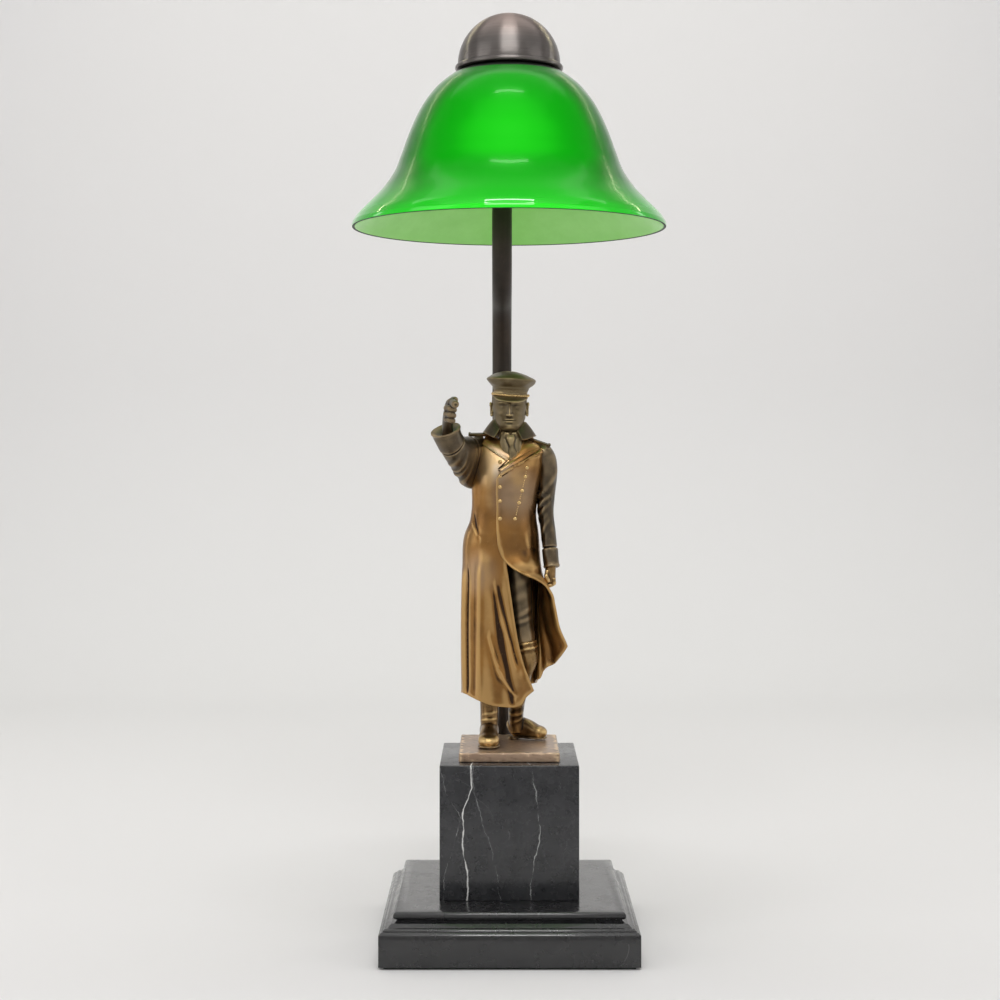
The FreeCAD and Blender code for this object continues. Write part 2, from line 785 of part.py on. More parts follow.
def pointing_hand():
    palm = tapered_limb(pointing_palm_stations)
    return single(palm.fuse(tapered_limb(pointing_finger_stations)))


def epaulette(ends):
    """Raised board on one shoulder, from the collar to the arm."""
    inner_x, outer_x = ends
    front = epaulette_y - epaulette_half_width
    inner_top = epaulette_inner_height + strap_thickness
    outer_top = epaulette_outer_height + strap_thickness
    corners = [
        on_plate(inner_x, front, epaulette_inner_height - epaulette_inlay),
        on_plate(outer_x, front, epaulette_outer_height - epaulette_inlay),
        on_plate(outer_x, front, outer_top),
        on_plate(inner_x, front, inner_top),
    ]
    corners.append(corners[0])
    return Part.Face(Part.makePolygon(corners)).extrude(Vector(0, 2 * epaulette_half_width, 0))


def buttons(body):
    """Two rows down the chest, standing on the coat."""
    made = []
    for x, height in button_places:
        ray = Part.LineSegment(on_plate(x, opening_front, height), on_plate(x, 0, height))
        surface = min(vertex.Point.y for vertex in ray.toShape().common(body).Vertexes)
        front = on_plate(x, surface - button_stand, height)
        stud = Part.makeCylinder(button_radius, button_length, front, Vector(0, 1, 0))
        made.append(single(stud.cut(body)))
    return made


# ======================================================================================================
# assembly
# ======================================================================================================
rods, tie_washers, tie_nuts = tie_fasteners()
save(base_board(), "base_board")
save(base_felt(), "base_felt")
save(cord_gland(), "cord_gland")
save(marble_plinth(), "marble_plinth")
save(Part.makeCompound(rods), "tie_rods")
save(Part.makeCompound(tie_washers), "tie_washers")
save(Part.makeCompound(tie_nuts), "tie_nuts")

save(stem_tube(), "stem_tube")
for piece, node in zip(stem_fasteners(), ("stem_pipe", "stem_washer", "stem_nut")):
    save(piece, node)

for piece, node in zip(hub_parts(), ("hub_body", "hub_lid")):
    save(piece, node)
for side, name in ((-1, "left"), (1, "right")):
    arm = arm_rod(arm_radius, arm_start, arm_end).cut(arm_rod(arm_bore_radius, arm_start, arm_end))
    save(along_arm(arm, side), "socket_arm_" + name)
    save(along_arm(holder_shell(), side), "holder_shell_" + name)
    save(along_arm(holder_insert(), side), "holder_insert_" + name)
    save(along_arm(contact_button(), side), "holder_contact_" + name)
    save(along_arm(bulb_cap()[0], side), "bulb_cap_" + name)
    save(along_arm(bulb_glass(), side), "bulb_glass_" + name)

crown_nodes = ("crown_pipe", "shade_carrier", "carrier_nut", "rubber_washer_lower", "rubber_washer_upper")
for piece, node in zip(crown_hardware(), crown_nodes):
    save(piece, node)
save(glass_shade(), "glass_shade")
for piece, node in zip(cap_parts(), ("dome_cap", "dome_boss")):
    save(piece, node)

save(figure_plate(), "figure_plate")
coat_solid = single(stacked(coat_rings, body_squareness).cut(skirt_opening()))
standing_boot = boot(standing_heel, standing_toe, standing_ankle, standing_top, standing_half_width)
striding_boot = boot(striding_heel, striding_toe, striding_ankle, striding_top, striding_half_width)
leg_solid = single(tapered_limb(leg_stations).cut(coat_solid).cut(striding_boot))
hand_solid = tapered_limb(hanging_hand_stations)
save(coat_solid, "coat")
save(leg_solid, "trouser_leg")
save(single(coat_flap().cut(coat_solid).cut(leg_solid).cut(hand_solid)), "coat_flap")
save(single(standing_boot.cut(coat_solid)), "boot_standing")
save(single(striding_boot.cut(coat_solid)), "boot_striding")

collar_solid = single(stacked(collar_rings, body_squareness).cut(coat_solid))
cap_solid = stacked(cap_rings, head_squareness)
head_solid = stacked(head_rings, head_squareness)
save(collar_solid, "coat_collar")
save(single(head_solid.cut(coat_solid).cut(collar_solid).cut(cap_solid)), "head")
save(cap_solid, "service_cap")
save(single(cap_visor().cut(cap_solid).cut(head_solid)), "cap_visor")

boards = []
for ends, name in ((epaulette_left_ends, "left"), (epaulette_right_ends, "right")):
    board = single(epaulette(ends).cut(coat_solid).cut(collar_solid))
    save(board, "epaulette_" + name)
    boards.append(board)
pointing_solid = single(tapered_limb(pointing_sleeve_stations).cut(coat_solid).cut(boards[0]))
save(pointing_solid, "sleeve_pointing")
save(single(pointing_hand().cut(pointing_solid)), "hand_pointing")
hanging_solid = single(tapered_limb(hanging_sleeve_stations).cut(coat_solid).cut(boards[1]))
save(hanging_solid, "sleeve_hanging")
save(single(hand_solid.cut(hanging_solid)), "hand_hanging")
save(Part.makeCompound(buttons(coat_solid)), "coat_buttons")
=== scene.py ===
# %% [markdown]
# A table lamp is dressed here, piece by piece. Its construction comes in as a fixed frame:
# every CAD node is loaded at its real place, and all that this lesson adds is looks.

import math
from contextlib import contextmanager

import bmesh
import bpy
import numpy as np
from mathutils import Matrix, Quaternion, Vector
from mathutils.bvhtree import BVHTree


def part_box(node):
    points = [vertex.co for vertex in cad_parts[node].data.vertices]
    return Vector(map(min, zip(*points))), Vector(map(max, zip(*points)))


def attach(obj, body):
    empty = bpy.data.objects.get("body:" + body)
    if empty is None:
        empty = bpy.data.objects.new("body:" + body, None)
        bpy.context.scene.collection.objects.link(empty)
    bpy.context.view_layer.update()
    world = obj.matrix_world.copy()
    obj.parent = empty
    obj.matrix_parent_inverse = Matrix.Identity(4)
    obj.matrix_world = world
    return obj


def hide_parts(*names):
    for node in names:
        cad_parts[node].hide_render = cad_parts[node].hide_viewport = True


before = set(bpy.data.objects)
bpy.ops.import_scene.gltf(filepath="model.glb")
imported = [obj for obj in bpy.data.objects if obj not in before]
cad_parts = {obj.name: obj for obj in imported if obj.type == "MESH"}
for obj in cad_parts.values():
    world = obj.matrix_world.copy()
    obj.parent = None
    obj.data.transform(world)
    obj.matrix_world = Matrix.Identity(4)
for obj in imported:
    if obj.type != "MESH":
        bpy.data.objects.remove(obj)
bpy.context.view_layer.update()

# %% [markdown]
# Blender's operators act on whatever is selected, and the frame arrives selected. So every
# step starts by choosing one object alone. The lamp is measured in millimetres, as a lamp
# maker would, and MM turns those into Blender's metres.

# %% Small helpers for working like at the bench
MM = 0.001


def choose(obj):
    """Select one object alone and make it the active one."""
    if bpy.context.object and bpy.context.object.mode != "OBJECT":
        bpy.ops.object.mode_set(mode="OBJECT")
    bpy.ops.object.select_all(action="DESELECT")
    obj.select_set(True)
    bpy.context.view_layer.objects.active = obj


@contextmanager
def edit_mode(obj):
    """Hold one object in edit mode, all selected, for the length of a with block."""
    choose(obj)
    bpy.ops.object.mode_set(mode="EDIT")
    bpy.ops.mesh.select_all(action="SELECT")
    yield
    bpy.ops.object.mode_set(mode="OBJECT")


def settle(obj):
    """Put the object's place into its mesh, so that it sits at the origin, unturned."""
    choose(obj)
    bpy.ops.object.transform_apply(location=True, rotation=True, scale=True)


def apply_modifier(obj, kind, **settings):
    """Add a modifier with these settings and apply it at once."""
    choose(obj)
    modifier = obj.modifiers.new(kind.lower(), kind)
    for key, value in settings.items():
        setattr(modifier, key, value)
    bpy.ops.object.modifier_apply(modifier=modifier.name)


def clean_mesh(obj, merge=0.00001):
    """Merge doubled points and turn all faces outwards."""
    with edit_mode(obj):
        bpy.ops.mesh.remove_doubles(threshold=merge)
        bpy.ops.mesh.normals_make_consistent(inside=False)


def smooth_shade(obj, angle):
    """Shade smooth, but keep edges sharper than this angle crisp."""
    choose(obj)
    bpy.ops.object.shade_smooth_by_angle(angle=math.radians(angle))


def join(objs, name):
    """Make one object of several."""
    bpy.ops.object.select_all(action="DESELECT")
    for obj in objs:
        obj.select_set(True)
    bpy.context.view_layer.objects.active = objs[0]
    bpy.ops.object.join()
    objs[0].name = name
    return objs[0]


def finish_piece(obj, name, material, body, nodes):
    """Name a finished piece, give it its material, and put it on its body."""
    obj.name = name
    obj.data.name = name
    obj.data.materials.clear()
    obj.data.materials.append(material)
    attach(obj, body)
    if nodes:
        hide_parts(*nodes)
    print("made", name, "with", len(obj.data.polygons), "faces")


# %% [markdown]
# The camera stands where the photographer stood: a little over a metre away, just below the
# figure's chest height, looking level. A small shift frames the lamp without tilting the
# camera, so upright edges stay upright.

# %% Camera
CAMERA_PLACE = (-5.9 * MM, -1174 * MM, 319.4 * MM)
CAMERA_LENS = 64.8
CAMERA_SHIFT = -0.055

bpy.ops.object.camera_add(location=CAMERA_PLACE, rotation=(math.radians(90), 0, 0))
camera = bpy.context.object
camera.data.lens = CAMERA_LENS
camera.data.sensor_width = 36
camera.data.shift_y = CAMERA_SHIFT
bpy.context.scene.camera = camera
bpy.context.scene.view_settings.view_transform = "Standard"

# %% [markdown]
# A product photograph stands on a sweep: paper that runs along the table and curves up the
# wall behind, so that no corner shows. It is a plane whose far edge is extruded along a
# quarter circle and then straight up.

# %% The paper sweep
SWEEP_HALF_WIDTH = 1.9
SWEEP_FRONT = -1.6
SWEEP_FLAT_END = 1.02
SWEEP_CURVE = 0.42
SWEEP_TOP = 2.4
SWEEP_STEPS = 14

bpy.ops.mesh.primitive_plane_add(size=2)
sweep = bpy.context.object
for vertex in sweep.data.vertices:
    vertex.co.x *= SWEEP_HALF_WIDTH
    vertex.co.y = SWEEP_FRONT if vertex.co.y < 0 else SWEEP_FLAT_END


def extrude(*way):
    """Extrude what is selected by this way."""
    bpy.ops.mesh.extrude_region_move(TRANSFORM_OT_translate={"value": way})


with edit_mode(sweep):
    bpy.ops.mesh.select_mode(type="EDGE")
    mesh = bmesh.from_edit_mesh(sweep.data)
    for edge in mesh.edges:
        edge.select_set(all(v.co.y > SWEEP_FLAT_END - 0.001 for v in edge.verts))
    bmesh.update_edit_mesh(sweep.data)
    turn_before = 0
    for step in range(1, SWEEP_STEPS + 1):
        turn = math.pi / 2 * step / SWEEP_STEPS
        extrude(0, SWEEP_CURVE * (math.sin(turn) - math.sin(turn_before)),
                SWEEP_CURVE * (math.cos(turn_before) - math.cos(turn)))
        turn_before = turn
    extrude(0, 0, SWEEP_TOP - SWEEP_CURVE)
smooth_shade(sweep, 60)
sweep.name = "paper_sweep"

# %% [markdown]
# Materials are node trees. These helpers keep them readable: one adds a node and fills its
# sockets with plain values or links, and one starts a material whose Principled shader has
# its constants written directly on it. The small ones stand for one node each.

# %% Helpers for node trees
def plug(tree, value, socket):
    """Link a socket to this one, or write a plain value on it; a colour gets its alpha."""
    if isinstance(value, bpy.types.NodeSocket):
        tree.links.new(value, socket)
    elif socket.type == "RGBA" and len(value) == 3:
        socket.default_value = (*value, 1)
    else:
        socket.default_value = value


def add_node(tree, kind, inputs=None, **settings):
    """Add a node; inputs holds plain values and sockets to link, by name or number."""
    node = tree.nodes.new(kind)
    for key, value in settings.items():
        setattr(node, key, value)
    for key, value in (inputs or {}).items():
        plug(tree, value, node.inputs[key])
    return node


def start_material(name, **sockets):
    """A material with one Principled shader whose sockets are set to these values."""
    material = bpy.data.materials.new(name)
    material.use_nodes = True
    tree = material.node_tree
    tree.nodes.clear()
    shader = add_node(tree, "ShaderNodeBsdfPrincipled")
    add_node(tree, "ShaderNodeOutputMaterial", {"Surface": shader.outputs["BSDF"]})
    for key, value in sockets.items():
        shader.inputs[key.replace("_", " ")].default_value = value
    return material, tree, shader


def start_group(name, inputs, outputs):
    """A shader node group: a place and named float inputs, and named float outputs."""
    group = bpy.data.node_groups.new(name, "ShaderNodeTree")
    group.interface.new_socket(name="Place", in_out="INPUT", socket_type="NodeSocketVector")
    for label, value in inputs.items():
        socket = group.interface.new_socket(name=label, in_out="INPUT", socket_type="NodeSocketFloat")
        socket.default_value = value
    for label in outputs:
        group.interface.new_socket(name=label, in_out="OUTPUT", socket_type="NodeSocketFloat")
    return group, group.nodes.new("NodeGroupInput").outputs, group.nodes.new("NodeGroupOutput").inputs


def ramp(tree, factor, stops):
    """A colour ramp from (position, colour) stops."""
    node = add_node(tree, "ShaderNodeValToRGB", {"Fac": factor})
    elements = node.color_ramp.elements
    while len(elements) < len(stops):
        elements.new(0.5)
    for element, (position, colour) in zip(elements, stops):
        element.position = position
        element.color = (*colour, 1)
    return node


def mix_colour(tree, factor, first, second, blend="MIX"):
    """Mix two colours; each argument is a socket or a plain value."""
    inputs = {0: factor, 6: first, 7: second}
    return add_node(tree, "ShaderNodeMix", inputs, data_type="RGBA", blend_type=blend).outputs[2]


def maths(tree, operation, first, second, clamp=False):
    inputs = {0: first, 1: second}
    return add_node(tree, "ShaderNodeMath", inputs, operation=operation, use_clamp=clamp).outputs[0]


def over(tree, tone, mask, share, colour):
    """Lay a colour over a tone where a mask is, at this share of the mask."""
    return mix_colour(tree, maths(tree, "MULTIPLY", mask, share), tone, colour)


def remap(tree, value, low=0, high=1, to_low=0, to_high=1, kind="LINEAR"):
    """Bring a value's range from low to high into another range."""
    inputs = {"Value": value, "From Min": low, "From Max": high, "To Min": to_low, "To Max": to_high}
    return add_node(tree, "ShaderNodeMapRange", inputs, interpolation_type=kind).outputs[0]


def noise(tree, place, scale, detail, roughness=0.5):
    inputs = {"Vector": place, "Scale": scale, "Detail": detail, "Roughness": roughness}
    return add_node(tree, "ShaderNodeTexNoise", inputs).outputs["Fac"]


def object_place(tree):
    return add_node(tree, "ShaderNodeTexCoord").outputs["Object"]


def axis(tree, place, name):
    return add_node(tree, "ShaderNodeSeparateXYZ", {0: place}).outputs[name]


def stretched(tree, place, scale, rotation=(0, 0, 0)):
    """The place, scaled unevenly, so that a noise on it is drawn out."""
    inputs = {"Vector": place, "Scale": scale, "Rotation": rotation}
    return add_node(tree, "ShaderNodeMapping", inputs).outputs[0]


def add_bump(tree, shader, height, distance, strength):
    """Feed a height through a Bump node into the shader's normal."""
    bump = add_node(tree, "ShaderNodeBump", {"Height": height, "Distance": distance, "Strength": strength})
    tree.links.new(bump.outputs["Normal"], shader.inputs["Normal"])


def uneven_gloss(tree, shader, mask, smooth, rough, low=0, high=1):
    """Let the roughness follow a mask between two values."""
    tree.links.new(remap(tree, mask, low, high, smooth, rough), shader.inputs["Roughness"])


# %% [markdown]
# The paper is pale grey and matt. Light and shade are painted into its colour along its
# length: lighter where it turns up, and a touch darker on the wall, as uneven light falls.

# %% Paper material
PAPER_FLOOR = (0.80, 0.79, 0.795)
PAPER_TURN = (0.86, 0.86, 0.86)
PAPER_WALL = (0.85, 0.843, 0.847)

paper, tree, shader = start_material("sweep_paper", Roughness=0.9)
place = object_place(tree)
# Painted light: lighter towards the turn, and painted shade a touch darker up the wall.
tone = mix_colour(tree, remap(tree, axis(tree, place, "Y"), 0, 1.1), PAPER_FLOOR, PAPER_TURN)
tone = mix_colour(tree, remap(tree, axis(tree, place, "Z"), 0.02, 0.55), tone, PAPER_WALL)
tree.links.new(tone, shader.inputs["Base Color"])
sweep.data.materials.append(paper)

# %% [markdown]
# The light is a soft studio set: a wide lamp overhead, a large soft lamp in front to the left
# and a weaker one to the right, and a wash on the wall behind. Glass, lacquer and metal
# mirror the narrow ones as thin light lines: a bar above, a panel above the camera, two
# slanting bars high at the back, and a soft strip at each side.

# %% Lamps and world
def soft_lamp(name, place, target, width, height, power, colour=(1, 1, 1), roll=0):
    """A rectangular lamp at a place, turned to a target and rolled by some degrees."""
    bpy.ops.object.light_add(type="AREA", location=place)
    lamp = bpy.context.object
    lamp.name = name
    lamp.data.shape = "RECTANGLE"
    lamp.data.size = width
    lamp.data.size_y = height
    lamp.data.energy = power
    lamp.data.color = colour
    aim = Vector(target) - Vector(place)
    turn = aim.to_track_quat("-Z", "Y") @ Quaternion((0, 0, 1), math.radians(roll))
    lamp.rotation_euler = turn.to_euler()


LAMP_AIM = (0, 0, 0.33)
SHADE_AIM = (0, 0, 0.4)
BACK_AIM = (0, 0, 0.5)
WALL_AIM = (0, 1.45, 0.7)
soft_lamp("overhead", (0, -0.15, 1.75), LAMP_AIM, 1.6, 1.4, 3.2)
soft_lamp("top_bar", (0, -0.38, 1.62), SHADE_AIM, 0.5, 0.07, 3.0)
soft_lamp("front_panel", (0, -1.0, 1.27), SHADE_AIM, 0.7, 0.3, 5.0)
soft_lamp("front_left", (-1.4, -0.95, 0.85), LAMP_AIM, 1.2, 1.5, 6.5)
soft_lamp("front_right", (1.42, -0.9, 0.8), LAMP_AIM, 1.0, 1.4, 3.1)
BAR_COLOUR = (1.0, 0.96, 0.62)
BAR_ROLL = 28
for name, side in (("left", -1), ("right", 1)):
    soft_lamp("side_strip_" + name, (1.14 * side, 0.37, 0.45), SHADE_AIM, 0.12, 1.0, 1.0)
    soft_lamp("back_bar_" + name, (0.84 * side, 0.94, 1.415), BACK_AIM, 0.85, 0.014, 1.1,
              BAR_COLOUR, BAR_ROLL * side)
soft_lamp("wall_wash", (0, 0.45, 1.9), WALL_AIM, 2.2, 0.5, 5.6)

world = bpy.data.worlds.new("studio")
bpy.context.scene.world = world
world.use_nodes = True
sky = world.node_tree.nodes["Background"]
sky.inputs["Color"].default_value = (1, 1, 1, 1)
sky.inputs["Strength"].default_value = 0.2

# %% [markdown]
# Several finishes share the same small effects. A speckle group gives fine noise for grain and
# dust, and a scratch group gives thin, long marks. Each is built once, as a node group, and
# then placed in a material with values of its own.

# %% Shared effect: speckle
def build_speckle():
    """Fine noise, cut off below Low and full above High."""
    group, entry, leave = start_group("speckle", {"Scale": 400, "Low": 0.4, "High": 0.6}, ["Mask"])
    grains = noise(group, entry["Place"], entry["Scale"], 6, 0.65)
    group.links.new(remap(group, grains, entry["Low"], entry["High"]), leave["Mask"])
    return group


speckle = build_speckle()

# %% Shared effect: scratches
def build_scratches():
    """Thin marks: the zero line of a stretched, turned noise, broken up by a second noise."""
    group, entry, leave = start_group("scratches", {"Scale": 30, "Width": 0.006, "Amount": 0.6}, ["Mask"])
    turned = stretched(group, entry["Place"], (1, 0.12, 1), (0.6, 0.9, 0.4))
    away = maths(group, "SUBTRACT", noise(group, turned, entry["Scale"], 1.5), 0.5)
    thin = maths(group, "LESS_THAN", maths(group, "ABSOLUTE", away, 0), entry["Width"])
    kept = maths(group, "GREATER_THAN", noise(group, entry["Place"], entry["Scale"], 2), entry["Amount"])
    group.links.new(maths(group, "MULTIPLY", thin, kept), leave["Mask"])
    return group


scratches = build_scratches()


def add_speckle(tree, place, scale, low=0.4, high=0.6):
    inputs = {"Place": place, "Scale": scale, "Low": low, "High": high}
    return add_node(tree, "ShaderNodeGroup", inputs, node_tree=speckle).outputs["Mask"]


def add_scratches(tree, place, scale, width, amount):
    inputs = {"Place": place, "Scale": scale, "Width": width, "Amount": amount}
    return add_node(tree, "ShaderNodeGroup", inputs, node_tree=scratches).outputs["Mask"]


# %% [markdown]
# The board is wood under black lacquer. The lacquer is not quite glossy: it has a fine orange
# peel, faint dust, and small pale scratches and specks where it has been handled.

# %% Black lacquer
lacquer, tree, shader = start_material("black_lacquer", IOR=1.5, Coat_Weight=0.5, Coat_Roughness=0.07)
place = object_place(tree)
tone = mix_colour(tree, add_speckle(tree, place, 60, 0.35, 0.7), (0.010, 0.010, 0.011),
                  (0.020, 0.020, 0.021))
tone = over(tree, tone, add_speckle(tree, place, 900, 0.70, 0.78), 0.35, (0.30, 0.30, 0.29))
tone = over(tree, tone, add_scratches(tree, place, 30, 0.0022, 0.66), 0.25, (0.42, 0.42, 0.42))
tree.links.new(tone, shader.inputs["Base Color"])
uneven_gloss(tree, shader, add_speckle(tree, place, 45, 0.3, 0.7), 0.20, 0.34)
add_bump(tree, shader, add_speckle(tree, place, 1500, 0.2, 0.8), 0.00004, 0.6)

# %% [markdown]
# The board's moulding is cut along all four sides alike. So its section is walked from the
# bottom up: a square plane is extruded to each height and resized to each width in turn,
# which gives clean mitred corners. A small bevel then takes the knife edge off.

# %% Stepped board
board_low, board_high = (Vector(corner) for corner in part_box("base_board"))
BOARD_HALF = board_high.x
SLAB_TOP = 22.5 * MM
BEAD_HALF = BOARD_HALF - 8.5 * MM
BEAD_RADIUS = 2.45 * MM
BEAD_STEPS = 7
STEPS = ((0.0, 0.0, 1.6, 2.6), (2.6, 1.7, 1.1, 2.6), (5.3, 4.0, 2.1, 4.2))


def board_section():
    """Half widths and heights of the moulding, from the slab's foot to the top."""
    section = [(BOARD_HALF, board_low.z)]
    for out, up, slope, tread in STEPS:
        edge, top = BOARD_HALF - out * MM, SLAB_TOP + up * MM
        section += [(edge, top - slope * MM), (edge - 1.1 * slope * MM, top),
                    (edge - tread * MM, top + 0.02 * MM)]
    middle = board_high.z - BEAD_RADIUS
    for step in range(BEAD_STEPS + 1):
        turn = math.pi * (step / BEAD_STEPS - 0.5)
        section.append((BEAD_HALF - BEAD_RADIUS + BEAD_RADIUS * math.cos(turn),
                        middle + BEAD_RADIUS * math.sin(turn)))
    section.append((BEAD_HALF - 7 * MM, board_high.z))
    return section


def square_turned(section):
    """Walk a section round a square: extrude upwards and resize at each station."""
    half, low = section[0]
    bpy.ops.mesh.primitive_plane_add(size=2 * half, location=(0, 0, low))
    obj = bpy.context.object
    settle(obj)
    with edit_mode(obj):
        for (width_before, height_before), (width, height) in zip(section, section[1:]):
            extrude(0, 0, height - height_before)
            share = width / width_before
            bpy.ops.transform.resize(value=(share, share, 1), center_override=(0, 0, height))
    clean_mesh(obj)
    return obj


board = square_turned(board_section())
apply_modifier(board, "BEVEL", width=0.3 * MM, segments=2, limit_method="ANGLE",
               angle_limit=math.radians(28))
smooth_shade(board, 30)
finish_piece(board, "lacquered_board", lacquer, "lamp", ["base_board"])

# %% [markdown]
# Black marble is a dark ground with white sheets of calcite running through it. A sheet cuts
# the block right through, so it shows as a wandering line on the front and goes on over the
# top. Each vein here is a curve from height to sideways place, roughened by noise, and the
# line is where a point lies close to that sheet.

# %% Marble
PLINTH_LOW = 33.0 * MM
PLINTH_HEIGHT = 85.0 * MM
PLINTH_HALF = 44.0 * MM
VEIN_SPREAD = 100.0
VEIN_SWELL = 3.2


def vein(tree, place, height, points, width, lean, wobble, fade):
    """Mask of one vein. points are (share of height, sideways place in mm)."""
    curve = add_node(tree, "ShaderNodeFloatCurve", {"Value": height})
    line = curve.mapping.curves[0]
    while len(line.points) < len(points):
        line.points.new(0.5, 0.5)
    for point, (share, sideways) in zip(line.points, points):
        point.location = (share, 0.5 + sideways / VEIN_SPREAD)
        point.handle_type = "VECTOR"
    curve.mapping.update()
    centre = maths(tree, "MULTIPLY", maths(tree, "SUBTRACT", curve.outputs[0], 0.5), VEIN_SPREAD * MM)
    rough = noise(tree, place, 55, 8, 0.62)
    shake = maths(tree, "MULTIPLY", maths(tree, "SUBTRACT", rough, 0.5), wobble * MM)
    behind = maths(tree, "ADD", axis(tree, place, "Y"), PLINTH_HALF)
    away = maths(tree, "SUBTRACT", maths(tree, "SUBTRACT", axis(tree, place, "X"), centre), shake)
    away = maths(tree, "SUBTRACT", away, maths(tree, "MULTIPLY", behind, lean))
    thick = maths(tree, "SUBTRACT", noise(tree, place, 130, 5), fade)
    reach = maths(tree, "MULTIPLY", thick, width * MM * VEIN_SWELL)
    share = maths(tree, "DIVIDE", maths(tree, "ABSOLUTE", away, 0), maths(tree, "MAXIMUM", reach, 0.00001))
    return maths(tree, "SUBTRACT", 1, share, True)


marble, tree, shader = start_material("black_marble", IOR=1.52, Coat_Weight=0.2, Coat_Roughness=0.1)
place = object_place(tree)
height = remap(tree, axis(tree, place, "Z"), PLINTH_LOW, PLINTH_LOW + PLINTH_HEIGHT)
ground = mix_colour(tree, add_speckle(tree, place, 70, 0.35, 0.75), (0.012, 0.013, 0.015),
                    (0.034, 0.035, 0.038))
ground = over(tree, ground, add_speckle(tree, place, 260, 0.62, 0.80), 0.10, (0.16, 0.165, 0.17))
VEINS = (
    (((0.0, -26.6), (0.10, -26.0), (0.22, -26.8), (0.40, -29.8), (0.52, -29.0), (0.68, -29.2),
      (0.84, -23.4), (1.0, -24.4)), 0.62, 0.12, 5.0, 0.28, (0.86, 0.86, 0.84)),
    (((0.0, 12.8), (0.16, 13.2), (0.34, 17.2), (0.50, 18.9), (0.66, 19.2), (0.84, 16.0),
      (1.0, 13.2)), 0.48, -0.2, 7.0, 0.33, (0.50, 0.51, 0.50)),
    (((0.0, -5.0), (0.14, -6.4), (0.34, -10.2), (0.55, -16.6), (0.80, -21.8), (1.0, -23.0)),
     0.28, 0.3, 8.0, 0.38, (0.42, 0.43, 0.43)),
    (((0.0, -41.0), (0.20, -40.5), (0.42, -34.5), (0.62, -30.5), (0.80, -40.0), (1.0, -43.0)),
     0.28, -0.35, 9.0, 0.39, (0.42, 0.42, 0.42)),
    (((0.0, 38.0), (0.30, 33.0), (0.60, 39.5), (1.0, 28.0)), 0.16, 0.5, 12.0, 0.46, (0.28, 0.28, 0.29)),
)
for *vein_shape, colour in VEINS:
    ground = mix_colour(tree, vein(tree, place, height, *vein_shape), ground, colour)
ground = over(tree, ground, add_scratches(tree, place, 22.1, 0.0011, 0.52), 0.3, (0.4, 0.4, 0.4))
ground = over(tree, ground, add_speckle(tree, place, 900, 0.70, 0.75), 0.7, (0.65, 0.65, 0.65))
tree.links.new(ground, shader.inputs["Base Color"])
uneven_gloss(tree, shader, add_speckle(tree, place, 120, 0.3, 0.7), 0.18, 0.34)
add_bump(tree, shader, add_speckle(tree, place, 800, 0.3, 0.9), 0.00003, 0.5)

# %% [markdown]
# The block is sawn and polished, so it is a primitive cube brought to the frame's corners.
# Stone is never left with a knife edge: a narrow bevel gives the arris that catches light.

# %% Marble block
plinth_low, plinth_high = (Vector(corner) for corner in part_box("marble_plinth"))
ARRIS = 0.7 * MM


def cuboid(low, high):
    """A primitive cube brought to these corners."""
    bpy.ops.mesh.primitive_cube_add(size=1, location=(low + high) / 2, scale=high - low)
    obj = bpy.context.object
    settle(obj)
    return obj


block = cuboid(plinth_low, plinth_high)
apply_modifier(block, "BEVEL", width=ARRIS, segments=3)
smooth_shade(block, 30)
finish_piece(block, "marble_block", marble, "lamp", ["marble_plinth"])

# %% [markdown]
# Turned and spun parts, such as the shade, the cap, the lampholders and the bulbs, are all
# bodies of revolution. A circle primitive is the start: its points are moved onto the half
# outline, and the spin operator carries that outline once round the axis.

# %% A lathe made of the spin operator
def smooth_line(points, per_span):
    """Points of a smooth curve through all given (radius, height) points."""
    line = [Vector((a, b, 0)) for a, b in points]
    line = [2 * line[0] - line[1]] + line + [2 * line[-1] - line[-2]]
    out = []
    for index in range(1, len(line) - 2):
        p0, p1, p2, p3 = line[index - 1:index + 3]
        for step in range(per_span):
            t = step / per_span
            point = 0.5 * ((2 * p1) + (p2 - p0) * t + (2 * p0 - 5 * p1 + 4 * p2 - p3) * t * t
                           + (3 * p1 - p0 - 3 * p2 + p3) * t ** 3)
            out.append((point.x, point.y))
    out.append(points[-1])
    return out


def arc_line(centre, radius, start, end, steps):
    """Points of an arc in the (radius, height) plane, angles in degrees."""
    out = []
    for step in range(steps + 1):
        turn = math.radians(start + (end - start) * step / steps)
        out.append((centre[0] + radius * math.cos(turn), centre[1] + radius * math.sin(turn)))
    return out


def lathe(outline, steps, angle):
    """Spin a closed outline of (radius, height) points in millimetres round the Z axis."""
    bpy.ops.mesh.primitive_circle_add(vertices=len(outline), fill_type="NOTHING")
    obj = bpy.context.object
    for vertex, (radius, height) in zip(obj.data.vertices, outline):
        vertex.co = (max(radius, 0) * MM, 0, height * MM)
    with edit_mode(obj):
        bpy.ops.mesh.spin(steps=steps, angle=2 * math.pi, center=(0, 0, 0), axis=(0, 0, 1))
    clean_mesh(obj, 0.000002)
    smooth_shade(obj, angle)
    return obj
